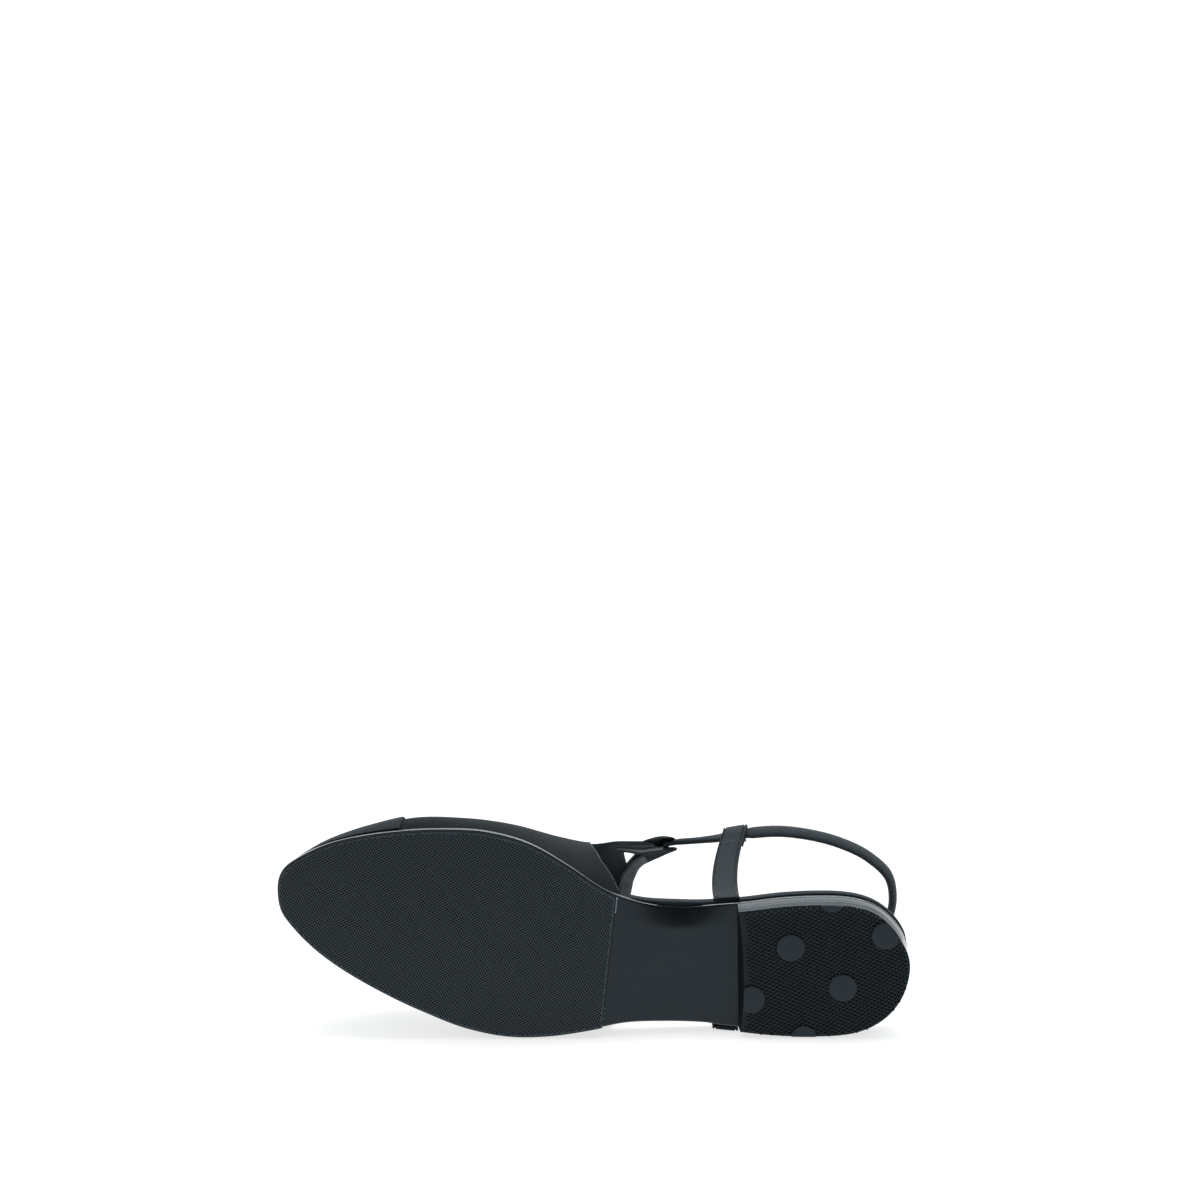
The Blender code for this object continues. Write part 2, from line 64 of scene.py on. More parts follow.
# Thicknesses of the layers under the foot
TREAD_THICK = 1.5
SOLE_THICK = 2.3
LIFT_THICK = 3.0
BLOCK_THICK = 2.9
INSOLE_THICK = 2.2
RIM_THICK = 4.3

# Side view of the sole
HEEL_RISE = 4.7
WAIST_FRONT = 140.0
WAIST_BACK = 72.0
TOE_SPRING = 8.0
SPRING_START = 205.0
TREAD_BACK = 124.6
WAIST_ROLL = 2.1
WAIST_ROLL_WIDTH = 9.4
WAIST_ROLL_POWER = 1.4
WAIST_ROLL_CENTRE = 98.0
WAIST_ROLL_LENGTH = 27.0

# Front face of the heel: where it crosses each edge, and how far its middle is hollowed
BREAST_INNER = 74.1
BREAST_OUTER = 67.3
BREAST_LEAN = 0.5
BREAST_SAG = 1.6

# Insets and flares of the heel's layers and of the outsole's edge
LIFT_INSET = -1.0
LIFT_INNER_INSET = 0.4
LIFT_OUTER_INSET = -0.9
LIFT_TOP_INSET = -0.4
BLOCK_FLARE = 1.4
HEEL_FLARE = 1.1
HEEL_OUTER_FLARE = 0.8
OUTER_TAPER = 26.0
SOLE_FLARE = 1.6
SOLE_OUTER_FLARE = 0.12
SOLE_FLARE_LENGTH = 8.0
SOLE_FLARE_FRONT = 108.0
SOLE_FLARE_BACK = 76.0

# Upper, toe cap and insole, whose rim stands out most at the inner corner of the heel
WALL = 1.6
CAP_THICK = 1.1
CAP_THIN = 0.7
CAP_THIN_START = 244.0
FEATHER_INSET = 1.2
INSOLE_TOE_INSET = 2.0
RIM_INNER = 2.3
RIM_INNER_FRONT = 0.2
RIM_OUTER = 1.3
RIM_OUTER_SIDE = 0.3
RIM_INNER_FULL = 5.0
RIM_FALL = 95.0
RIM_FALL_LENGTH = 30.0
RIM_CORNER = 1.6
RIM_CORNER_STATION = 18.0
RIM_CORNER_LENGTH = 24.0
RIM_FRONT = 121.3
RIM_BACK = 118.3
RIM_STEPS = 12
BED_BACK = 112.0
BED_FRONT = 185.0
CAP_EDGE = 216.2
CAP_EDGE_BOW = 2.0

# Keyhole in the instep: station and girth of its three corners
KEYHOLE_COLUMNS = ("station", "girth")
KEYHOLE = (
    (121.5, 0.391),
    (114.9, 0.421),
    (119.0, 0.469),
)
KEYHOLE_DEPTH = 4.0
KEYHOLE_ROUND = 0.12

# Textile over the upper's wall, and its swelling where the sling is sewn in
TEXTILE = 0.25
TEXTILE_END = 0.9
TEXTILE_FADE = 0.2
SEAT_LENGTH = 9.0
SEAT_GIRTH = 0.028
SEAT_OUT = 0.9
SEAT_IN = 1.2
OUTER_SEAT_GIRTH = 0.64

# Lip over the cord's end at the tab, from its root on the upper to its tip
LIP_ROOT = 115.0
LIP_TIP = 97.7
LIP_BOW = 3.6
LIP_POINT = 0.5
LIP_CREST = 0.1
LIP_GIRTH = 0.3885
LIP_HALF_GIRTH = 0.0365
LIP_THICK = 1.1
LIP_RISE = 1.85
LIP_SUNK = 0.1
LIP_FAR_BOW = 2.0
LIP_LIFT = (0.15, 0.55)
LIP_DROOP = 0.35
LIP_DROOP_START = 0.75
LIP_TAPER = 0.4
LIP_TIP_POWER = 10
LIP_ROWS, LIP_SPANS = 33, 29

# Tape that faces the upper's rear edge on its inside
FACING = (0.474, 0.985)
FACING_WIDTH = 6.2
FACING_THICK = 0.45
FACING_START = 0.3
FACING_ROWS, FACING_SPANS = 400, 9
TAPE_EDGE_POWER = 6
GIRTH_SPAN = 124.0
EDGE_SAMPLES = 900
EDGE_BLUR = 4

# Tape that runs on inside the tab: station and girth of its middle, and half its width in girth
TAB_TAPE = (
    (125.0, 0.340, 0.004),
    (119.0, 0.374, 0.008),
    (114.0, 0.393, 0.0125),
    (109.5, 0.393, 0.010),
    (104.5, 0.398, 0.007),
)
TAB_TAPE_ROWS = 80

# Straps and sling
STRAP_WIDTH = 10.9
STRAP_THICK = 1.4
SEAM_INSET = 1.12
SEAM_HALF = 0.28
SEAM_DEPTH = 0.5
SEAM_SLOPE = 0.1
SEAM_FREE = 1.0
STRAP_EDGE_STEPS, STRAP_FACE_STEPS = 7, 6
CLIMB_SAMPLE = 20
SLING_HALF_THICK = 1.8
SLING_HALF_WIDTH = 3.45
SLING_END_RADIUS = 1.45
LOOP_CLEAR = 0.6
FOLD_START = math.radians(-10.0)
FOLD_END = math.radians(200.0)
FLAP_STEP = STRAP_THICK + GAP
BASE_SWING = 0.05
INNER_LOOP = 2
OUTER_LOOP = 17
SLING_LEAD = 2.5
SEAT_CLEAR = -0.8
CORD_ENDS = ((104.0, 0.404, 0.9), (99.2, 0.408, 1.0))
SLING_SLIM_LENGTH = 18.0
SLING_LEAN = math.radians(25.0)
LEAN_SPAN = (-6.0, 72.0)
LEAN_EASE = (14.0, 7.0)

# Rounding and insets of the layers' edges
SOLE_ROUND = 0.6
TREAD_ROUND = 0.3
TREAD_INSET = 0.45
TREAD_OUTER_INSET = 0.15
HEEL_ROUND = 0.35
INSOLE_ROUND = 0.65
EDGE_ROUND = 0.8
EDGE_ROWS = 6
ROUND_STEPS = 5
MITRE_LIMIT = 0.5

# Tread under the forefoot: a square grid of pits, turned against the length
PIT_PITCH = 0.98
PIT_TURN = math.radians(144.5)
PIT_EDGE = 0.37
PIT_MARGIN = 0.08
PIT_WALL = 0.08
PIT_DEPTH = 1.1
RING_RADIUS = 5.6
RING_HALF_WIDTH = 0.55
RING_DEPTH = 0.35
FOREFOOT_ROUNDS = ((235.1, 27.3), (155.6, 14.4), (202.4, -15.0))

# Nubs under the heel, in rows at 60 degrees, and the plain rounds between them
NUB_PITCH = 1.69
NUB_TURN = math.radians(166.7)
NUB_HEIGHT = 1.0
NUB_RADIUS = 0.47
NUB_SIDES = 8
NUB_MARGIN = 0.35
BREAST_STRIP = 1.5
ROUND_RADIUS = 5.8
ROUND_SIDES = 64
ROUND_RAY_STEPS = 120
ROUND_FIELD = 40
HEEL_REACH = 40.0
BOSS_FOOT = NUB_HEIGHT + 0.1
NUB_PROFILE = ((1.0, BOSS_FOOT), (0.95, 0.2), (0.75, 0.04), (0.4, 0.0))
ROUND_PROFILE = ((1.0, BOSS_FOOT), (1.0, 0.14), (0.97, 0.06), (0.9, 0.04))
HEEL_ROUNDS = ((50.9, 6.9), (12.6, 16.1), (27.5, -7.9), (64.7, -17.0), (41.0, -31.6), (36.5, 29.5))

# Points that each piece is drawn with, along it and across it
SOLE_ROWS, SOLE_SPANS, BED_SPANS = 200, 56, 20
TREAD_ROWS, TREAD_SPANS = 150, 40
HEEL_ROWS, HEEL_SPANS = 90, 30
UPPER_GIRTHS, UPPER_ROWS = 261, 84
CAP_GIRTHS, CAP_ROWS = 181, 44
STRAP_ROWS, FOLD_ROWS, FLAP_ROWS, STRAP_RINGS = 15, 13, 2, 170
SLING_RINGS, SLING_SIDES = 900, 24

# Ribs of the elastic
RIB_EVERY = 3
RIB_DEPTH = 0.28

# Stitches: pitch, length and thread radius of each kind
TAPE_STITCH = (1.6, 0.62, 0.28)
FOLD_STITCH = (1.25, 0.74, 0.15)
EDGE_STITCH = (1.25, 0.8, 0.12)
KNOT_STITCH = (0.5, 0.7, 0.3)
SEAM_STITCH = (1.5, 1.1, 0.15)
STITCH_SIDES, STITCH_RINGS = 6, 5
STITCH_ARCH = 1.6
STITCH_SUNK = 0.8

# Rows of stitches on the straps, as shares of their length, and across the fold
STRAP_SEAM_START = 4
STRAP_SEAM_END = 0.62
FOLD_SEAM = 0.58
FOLD_SEAM_MARGIN = 1.0
FOLD_SEAM_POINTS = 30

# Rows of stitches on the upper: girths, distance from the rear edge, height
EDGE_SEAM = ((0.01, 0.282), 0.8, TEXTILE)
EDGE_KNOT = ((0.238, 0.252), 0.6, 0.1)
REAR_SEAM = ((0.47, 0.97), 1.4, TEXTILE)
EDGE_PATH_POINTS = 200

# Traces of glue behind the tread: from side to side, then pitch, length and radius
GLUE_TRACES = ((13.5, 20.8, 1.1, 1.0, 0.26), (-35.0, -26.0, 2.3, 0.7, 0.12))
GLUE_BACK = 0.1
GLUE_POINTS = 40
GLUE_OUT = (-0.7, 0.0, -0.7)

# Plan of the outsole: y of its inner and outer edge at each station from the heel
PLAN_COLUMNS = ("station", "inner", "outer")
PLAN = (
    (1.6, 1.0, 1.0),
    (4.5, 11.6, -12.4),
    (10.0, 18.4, -19.9),
    (20.0, 24.3, -26.1),
    (36.0, 26.8, -29.4),
    (55.0, 24.4, -30.8),
    (75.0, 20.0, -30.7),
    (98.0, 17.4, -31.5),
    (116.0, 19.0, -33.5),
    (130.0, 23.2, -37.6),
    (146.0, 31.8, -41.6),
    (163.0, 39.4, -43.5),
    (180.0, 42.4, -41.9),
    (200.0, 41.5, -36.2),
    (222.0, 37.6, -28.0),
    (242.0, 30.9, -18.5),
    (257.0, 21.6, -7.6),
    (263.2, 15.2, -0.2),
    (264.8, 9.0, 9.0),
)

# Sections of the last: its ridge, at a height over the sole, and how far each side wall is drawn out
LAST_COLUMNS = ("station", "ridge_y", "ridge_rise", "inner_wall", "outer_wall")
LAST = (
    (92.0, 18.0, 73.9, 48.0, -40.0),
    (108.0, 14.5, 68.0, 48.0, -42.0),
    (120.0, 12.0, 64.1, 47.5, -43.5),
    (135.0, 9.5, 58.0, 43.4, -45.6),
    (150.0, 8.0, 51.6, 44.9, -46.4),
    (170.0, 6.5, 43.6, 48.9, -46.4),
    (190.0, 6.0, 36.6, 50.6, -41.5),
    (210.0, 6.0, 30.5, 50.0, -34.0),
    (230.0, 7.5, 24.2, 40.8, -25.0),
    (246.0, 9.0, 17.8, 30.4, -16.0),
    (257.0, 9.5, 12.0, 21.4, -7.0),
    (263.2, 9.5, 5.5, 15.2, 0.5),
    (264.8, 9.0, 0.0, 9.0, 9.0),
)
WALL_RISE = 0.40
CROWN = 0.56

# Upper's rear edge: station where it ends at each part of the girth, inner feather 0 to outer 1
TOPLINE_COLUMNS = ("girth", "station")
TOPLINE = (
    (0.0, 121.5),
    (0.044, 126.4),
    (0.083, 130.9),
    (0.15, 134.6),
    (0.22, 136.4),
    (0.285, 135.5),
    (0.292, 130.0),
    (0.298, 126.0),
    (0.313, 123.1),
    (0.328, 120.4),
    (0.338, 117.7),
    (0.345, 115.1),
    (0.352, 112.4),
    (0.358, 109.0),
    (0.372, 108.5),
    (0.385, 107.8),
    (0.40, 106.0),
    (0.415, 103.0),
    (0.425, 99.8),
    (0.430, 96.8),
    (0.434, 97.2),
    (0.446, 101.6),
    (0.460, 105.4),
    (0.470, 108.8),
    (0.480, 111.8),
    (0.495, 113.4),
    (0.525, 115.3),
    (0.56, 115.8),
    (0.64, 116.8),
    (0.80, 118.5),
    (1.0, 119.5),
)
TOPLINE_SOFT = 0.004
SOFT_SHIFTS = (-1, -0.5, 0, 0.5, 1)

# Ways of the straps and the sling: station, side and height of the middle of each
INNER_STRAP = (
    (78.8, 22.3, 9.0),
    (78.9, 22.7, 17.0),
    (78.8, 25.0, 29.0),
    (77.9, 29.2, 41.0),
    (76.4, 33.8, 50.0),
    (74.7, 38.4, 57.0),
)
OUTER_STRAP = (
    (73.2, -32.7, 6.8),
    (73.2, -32.1, 17.0),
    (73.0, -31.0, 29.0),
    (72.6, -29.8, 41.0),
    (72.2, -28.8, 50.0),
    (72.0, -28.5, 57.0),
)
SLING = (
    (86.5, 31.2, 66.4),
    (80.0, 33.7, 63.0),
    (73.8, 36.3, 61.0),
    (67.5, 38.1, 59.8),
    (55.0, 40.5, 58.6),
    (42.0, 40.6, 57.8),
    (29.0, 38.7, 57.3),
    (14.8, 33.5, 57.0),
    (5.0, 25.5, 57.0),
    (2.1, 15.8, 57.0),
    (2.9, 5.5, 57.0),
    (6.0, -6.0, 57.0),
    (15.0, -16.0, 57.0),
    (29.0, -21.8, 57.3),
    (42.0, -24.0, 57.8),
    (55.0, -25.1, 58.6),
    (65.0, -25.5, 60.2),
    (71.9, -25.6, 61.0),
    (79.0, -25.5, 61.4),
    (97.0, -24.2, 60.8),
)

# Tint of the gloss of everything black
COOL = (0.72, 0.88, 1.0, 1.0)

# Finish of each material; mottle, grain and weave are in millimetres
FINISH_COLUMNS = ("dark", "light", "roughness", "mottle", "grain", "weave", "specular", "sheen", "coat")
NO_COAT = (0.0, 0.03)
MOTTLE_DETAIL = 5.0
GRAIN_DETAIL = 3.0
NOISE_SPAN = (0.3, 0.7)
FINISHES = {
    "sole_leather": (
        (0.0018, 0.0034, 0.0052), (0.0036, 0.0058, 0.0082),
        (0.28, 0.42), 9.0, (0.3, 0.01), None, 0.36, 0.0, (0.08, 0.2),
    ),
    "sole_edge": (
        (0.005, 0.0065, 0.008), (0.009, 0.011, 0.013),
        (0.12, 0.24), 5.0, (0.4, 0.006), None, 0.6, 0.0, (0.9, 0.1),
    ),
    "tread_rubber": (
        (0.0165, 0.0217, 0.0254), (0.0239, 0.0302, 0.035),
        (0.36, 0.52), 14.0, (0.25, 0.01), None, 0.55, 0.0, NO_COAT,
    ),
    "lift_rubber": (
        (0.0066, 0.01, 0.013), (0.0114, 0.0156, 0.0192),
        (0.4, 0.56), 11.0, (0.25, 0.01), None, 0.42, 0.0, NO_COAT,
    ),
    # Painted shade: a darker, duller copy of the lift's rubber for the recessed plate between the nubs
    "lift_ground_painted_shade": (
        (0.0042, 0.0062, 0.0078), (0.0066, 0.0092, 0.0112),
        (0.48, 0.64), 9.0, (0.25, 0.01), None, 0.34, 0.0, NO_COAT,
    ),
    # Painted shade: a darker, duller copy of the rubber for the tread's pits and sides and the heel's
    # hollow front faces
    "rubber_painted_shade": (
        (0.003, 0.0043, 0.0053), (0.005, 0.0068, 0.008),
        (0.7, 0.85), 9.0, (0.25, 0.01), None, 0.15, 0.0, NO_COAT,
    ),
    "insole_wrap": (
        (0.009, 0.0118, 0.0138), (0.015, 0.0185, 0.021),
        (0.6, 0.75), 6.0, (0.4, 0.02), None, 0.24, 0.0, NO_COAT,
    ),
    "upper_textile": (
        (0.0031, 0.0049, 0.0065), (0.0055, 0.0078, 0.0098),
        (0.78, 0.92), 5.0, (0.35, 0.015), (0.55, 0.45, 0.04), 0.2, 0.05, NO_COAT,
    ),
    "lining": (
        (0.004, 0.0066, 0.0085), (0.0085, 0.012, 0.0142),
        (0.55, 0.72), 6.0, (0.45, 0.02), None, 0.3, 0.0, NO_COAT,
    ),
    # Partly painted light: the tape's own lighter tone, raised further to stand in for light that falls
    # inside through the opening
    "facing_tape_and_painted_light": (
        (0.12, 0.135, 0.14), (0.19, 0.21, 0.215),
        (0.55, 0.7), 4.0, (0.3, 0.01), (0.8, None, 0.06), 0.35, 0.08, NO_COAT,
    ),
    "cap_textile": (
        (0.008, 0.0108, 0.0132), (0.0118, 0.0152, 0.018),
        (0.7, 0.84), 6.0, (0.3, 0.01), (None, 0.62, 0.03), 0.22, 0.06, NO_COAT,
    ),
    "strap_tape": (
        (0.003, 0.0048, 0.0062), (0.006, 0.0086, 0.0106),
        (0.55, 0.72), 4.0, (0.35, 0.012), (None, 0.8, 0.06), 0.3, 0.05, NO_COAT,
    ),
    "elastic": (
        (0.0215, 0.0275, 0.0315), (0.035, 0.043, 0.0485),
        (0.62, 0.8), 3.0, (0.4, 0.04), (0.9, 1.0, 0.05), 0.28, 0.06, NO_COAT,
    ),
    "dark_thread": (
        (0.055, 0.065, 0.072), (0.085, 0.098, 0.108),
        (0.5, 0.65), 1.5, (0.12, 0.01), None, 0.4, 0.1, NO_COAT,
    ),
    "tape_thread": (
        (0.12, 0.135, 0.145), (0.21, 0.23, 0.245),
        (0.5, 0.65), 1.5, (0.12, 0.01), None, 0.4, 0.1, NO_COAT,
    ),
    "pale_thread": (
        (0.12, 0.135, 0.145), (0.26, 0.28, 0.295),
        (0.55, 0.7), 2.0, (0.12, 0.01), None, 0.3, 0.0, NO_COAT,
    ),
    "glue": (
        (0.22, 0.3, 0.36), (0.4, 0.5, 0.58),
        (0.45, 0.6), 1.5, (0.15, 0.01), None, 0.4, 0.0, NO_COAT,
    ),
    "floor_paper": (
        (0.32, 0.32, 0.32), (0.34, 0.34, 0.34),
        (0.85, 0.95), 60.0, (2.0, 0.01), None, 0.1, 0.0, NO_COAT,
    ),
}

# Camera, room, floor and light, in metres
CAMERA_PLACE = (0.0023, -0.8750, 0.3828)
CAMERA_PITCH = math.radians(76.8)
CAMERA_LENS = 65.07
CAMERA_SENSOR = 36.0
ROOM_STRENGTH = 1.25
ROOM_TINT = (0.93, 0.98, 1.0)
ROOM_FRONT = ((0.25, 0.0), (0.46, 0.03), (0.56, 1.0))
ROOM_TOP = ((0.80, 0.0), (0.93, 0.8))
FLOOR_HALF = 8.0
FLOOR_GLOW = 0.72
FLOOR_GLOW_COLOUR = (1.0, 1.0, 1.0, 1.0)
LIGHT_PLACE = (0.0, 0.15, 1.2)
LIGHT_TARGET = (0.0, 0.0, 0.05)
LIGHT_SIZE = (1.5, 0.3)
LIGHT_POWER = 15.0


def column(table, names, name):
    """One named column of a table."""
    return np.array([row[names.index(name)] for row in table], float)


def through(knots, values, places):
    """A smooth curve through a table's values, read at the given places."""
    slopes = np.gradient(values, knots)
    places = np.clip(places, knots[0], knots[-1])
    left = np.clip(np.searchsorted(knots, places) - 1, 0, len(knots) - 2)
    step = knots[left + 1] - knots[left]
    t = (places - knots[left]) / step
    start = values[left] * (1 + 2 * t) * (1 - t) ** 2 + slopes[left] * step * t * (1 - t) ** 2
    end = values[left + 1] * (3 - 2 * t) * t**2 + slopes[left + 1] * step * t**2 * (t - 1)
    return start + end


def units(vectors):
    return vectors / np.linalg.norm(vectors, axis=-1, keepdims=True)


def ease(t):
    """0 before 0, 1 after 1, and smooth between."""
    t = np.clip(t, 0.0, 1.0)
    return t * t * (3 - 2 * t)


def circle(sides):
    """Directions evenly round a full turn."""
    turns = np.linspace(0, 2 * math.pi, sides, endpoint=False)
    return np.stack([np.cos(turns), np.sin(turns)], axis=1)


# How the shoe lies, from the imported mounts

def shoe_axes():
    """Origin in metres and the directions of the shoe's length, inner side and height."""
    mounts = {mount["name"]: mount for mount in frame["record"]["mounts"]}
    heel, forefoot = (np.array(mounts[name]["pos_m"]) for name in ("heel_rest", "forefoot_rest"))
    height = -units(np.array(mounts["heel_rest"]["axis"]))
    run = units(forefoot - heel)
    cross = np.cross(height, run)
    step = FOREFOOT_REST - HEEL_REST
    bearing = math.atan2(step[1], step[0])
    length = run * math.cos(bearing) - cross * math.sin(bearing)
    axes = np.stack([length, np.cross(height, length), height])
    return heel - HEEL_REST * MM @ axes, axes


ORIGIN, AXES = shoe_axes()


def placed(points):
    """Points of the shoe in the frame's metres."""
    return ORIGIN + np.asarray(points, float) * MM @ AXES


# Plan and side view of the sole

HEEL_TIP = PLAN[0][0]
TOE_TIP = PLAN[-1][0]


def sweep_of(station):
    """Angle that goes from 0 at the heel to pi at the toe and gives both ends their round shape."""
    return np.arccos(np.clip(1 - 2 * (station - HEEL_TIP) / (TOE_TIP - HEEL_TIP), -1, 1))


def station_of(angle):
    return HEEL_TIP + (TOE_TIP - HEEL_TIP) * (1 - np.cos(angle)) / 2


def plan_edge(angle, side, rim=0.0):
    """Points (x, y) of the sole's inner or outer edge, moved outwards by rim."""
    knots = sweep_of(column(PLAN, PLAN_COLUMNS, "station"))
    reach = column(PLAN, PLAN_COLUMNS, side)
    angle = np.asarray(angle, float)
    nudge = 1e-4
    before = np.clip(angle - nudge, 0, math.pi)
    after = np.clip(angle + nudge, 0, math.pi)
    along_x = station_of(after) - station_of(before)
    along_x = np.where((before <= 0) | (after >= math.pi), 0.0, along_x)
    along_y = through(knots, reach, after) - through(knots, reach, before)
    length = np.hypot(along_x, along_y)
    outwards = 1.0 if side == "inner" else -1.0
    x = station_of(angle) - outwards * rim * along_y / length
    y = through(knots, reach, angle) + outwards * rim * along_x / length
    return np.stack([x, y], axis=-1)


def ground(station):
    """Height of the tread's underside: flat at the ball, rising to the heel and to the toe."""
    rise = HEEL_RISE * ease((WAIST_FRONT - station) / (WAIST_FRONT - WAIST_BACK))
    spring = np.maximum(0.0, (station - SPRING_START) / (TOE_TIP - SPRING_START)) ** 2
    return rise + TOE_SPRING * spring


def sole_bottom(station):
    return ground(station) + TREAD_THICK + GAP


def sole_top(station):
    return sole_bottom(station) + SOLE_THICK


# Surface of the last

def section_columns(angle):
    knots = sweep_of(column(LAST, LAST_COLUMNS, "station"))
    return [through(knots, column(LAST, LAST_COLUMNS, name), angle) for name in LAST_COLUMNS[1:]]


def bezier(t, points):
    a, b, c, d = points
    return a * (1 - t) ** 3 + 3 * b * t * (1 - t) ** 2 + 3 * c * t**2 * (1 - t) + d * t**3


def last_point(angle, girth):
    """Point of the last: girth 0 is its inner feather, 0.5 its ridge and 1 its outer feather."""
    angle, girth = np.broadcast_arrays(np.asarray(angle, float), np.asarray(girth, float))
    ridge_y, ridge_rise, inner_wall, outer_wall = section_columns(angle)
    inner = plan_edge(angle, "inner", -FEATHER_INSET)
    outer = plan_edge(angle, "outer", -FEATHER_INSET)
    is_inner = girth <= 0.5
    t = np.where(is_inner, 2 * girth, 2 * (1 - girth))
    foot = np.where(is_inner[..., None], inner, outer)
    wall = np.where(is_inner, inner_wall, outer_wall)
    ridge_x = (inner[..., 0] + outer[..., 0]) / 2
    foot_z = sole_top(foot[..., 0]) + GAP
    ridge_z = sole_top(ridge_x) + GAP + ridge_rise
    wall_z = foot_z + WALL_RISE * (ridge_z - foot_z)
    crown_y = ridge_y + CROWN * (wall - ridge_y)
    x = bezier(t, (foot[..., 0], foot[..., 0], ridge_x, ridge_x))
    y = bezier(t, (foot[..., 1], wall, crown_y, ridge_y))
    z = bezier(t, (foot_z, wall_z, ridge_z, ridge_z))
    return np.stack([x, y, z], axis=-1)


def last_normal(angle, girth):
    nudge = 1e-3
    angle, girth = np.broadcast_arrays(np.asarray(angle, float), np.asarray(girth, float))
    inside = np.minimum(angle, math.pi - nudge)
    lengthwise = last_point(inside + nudge, girth) - last_point(inside - nudge, girth)
    more = np.minimum(girth + nudge, 1.0)
    less = np.maximum(girth - nudge, 0.0)
    crosswise = last_point(inside, more) - last_point(inside, less)
    normal = units(np.cross(crosswise, lengthwise))
    at_tip = (angle > math.pi - nudge)[..., None]
    return np.where(at_tip, np.array([1.0, 0.0, 0.0]), normal)


def over_last(angle, girth, height):
    """Point at a height over the last, kept just above the sole."""
    point = last_point(angle, girth) + last_normal(angle, girth) * np.asarray(height)[..., None]
    point[..., 2] = np.maximum(point[..., 2], sole_top(point[..., 0]) + GAP)
    return point


def topline(girth):
    """Station of the upper's rear edge, with its corners softened."""
    knots = column(TOPLINE, TOPLINE_COLUMNS, "girth")
    stations = column(TOPLINE, TOPLINE_COLUMNS, "station")
    near = [np.interp(girth + shift * TOPLINE_SOFT, knots, stations) for shift in SOFT_SHIFTS]
    return np.mean(near, axis=0)


def textile(girth):
    """Thickness that the textile adds, less where the shoe lies on the floor."""
    return TEXTILE * ease((TEXTILE_END - girth) / TEXTILE_FADE)


def seat_swell(station, girth):
    """1 at the sling's outer seat in the upper's rear edge, fading forwards and sideways."""
    ahead = ease(1 - (station - topline(OUTER_SEAT_GIRTH)) / SEAT_LENGTH)
    return ahead * ease(1 - np.abs(girth - OUTER_SEAT_GIRTH) / SEAT_GIRTH)


# Materials

class Nodes:
    """Nodes of a material or a world, added with their inputs set or linked."""

    def __init__(self, owner):
        owner.use_nodes = True
        self.tree = owner.node_tree

    def put(self, value, target):
        if isinstance(value, bpy.types.NodeSocket):
            self.tree.links.new(value, target)
        else:
            target.default_value = value

    def add(self, kind, **inputs):
        """A new node; inputs go by their name, or by their number as _0, _1 and so on."""
        node = self.tree.nodes.new(kind)
        for socket, value in inputs.items():
            self.put(value, node.inputs[socket if socket in node.inputs else int(socket[1:])])
        return node

    def maths(self, operation, first, second=0.0):
        node = self.add("ShaderNodeMath", _0=first, _1=second)
        node.operation = operation
        return node.outputs[0]

    def attribute(self, name):
        node = self.add("ShaderNodeAttribute")
        node.attribute_name = name
        return node.outputs["Vector"]

    def noise(self, place, size, detail):
        return self.add("ShaderNodeTexNoise", Vector=place, Scale=1 / size, Detail=detail).outputs["Fac"]

    def ramp(self, share, stops):
        """Colours that pass through (position, colour) stops."""
        node = self.add("ShaderNodeValToRGB", Fac=share)
        elements = node.color_ramp.elements
        while len(elements) < len(stops):
            elements.new(0.5)
        for element, (position, colour) in zip(elements, stops):
            element.position = position
            element.color = (*colour, 1.0)
        return node.outputs["Color"]


def material(name):
    """A finish from its two tones, with a grain, an optional weave and an uneven gloss."""
    values = dict(zip(FINISH_COLUMNS, FINISHES[name]))
    made = bpy.data.materials.new(name)
    nodes = Nodes(made)
    place = nodes.attribute("shoe")
    mottle = nodes.noise(place, values["mottle"], MOTTLE_DETAIL)
    size, depth = values["grain"]
    grain = nodes.noise(place, size, GRAIN_DETAIL)
    both = nodes.maths("MULTIPLY", nodes.maths("ADD", mottle, grain), 0.5)
    few, many = NOISE_SPAN
    low, high = values["roughness"]
    gloss = nodes.add("ShaderNodeMapRange", _0=both, _1=few, _2=many, _3=low, _4=high)
    height = nodes.maths("MULTIPLY", grain, depth * MM)
    if values["weave"]:
        across, along, relief = values["weave"]
        split = nodes.add("ShaderNodeSeparateXYZ", Vector=nodes.attribute("surface"))
        waves = relief / 2 * MM
        for axis, pitch in (("X", across), ("Y", along)):
            if pitch:
                turn = nodes.maths("MULTIPLY", split.outputs[axis], 2 * math.pi / pitch)
                waves = nodes.maths("MULTIPLY", nodes.maths("SINE", turn), waves)
        height = nodes.maths("ADD", height, waves)
    bump = nodes.add("ShaderNodeBump", Strength=1.0, Distance=1.0, Height=height)
    coat, coat_roughness = values["coat"]
    sockets = {
        "Base Color": nodes.ramp(mottle, ((few, values["dark"]), (many, values["light"]))),
        "Roughness": gloss.outputs[0],
        "Normal": bump.outputs["Normal"],
        "Specular Tint": COOL,
        "Specular IOR Level": values["specular"],
        "Sheen Weight": values["sheen"],
        "Coat Weight": coat,
        "Coat Roughness": coat_roughness,
    }
    shader = made.node_tree.nodes["Principled BSDF"]
    for socket, value in sockets.items():
        nodes.put(value, shader.inputs[socket])
    return made


MATERIALS = {name: material(name) for name in FINISHES}


# Meshes

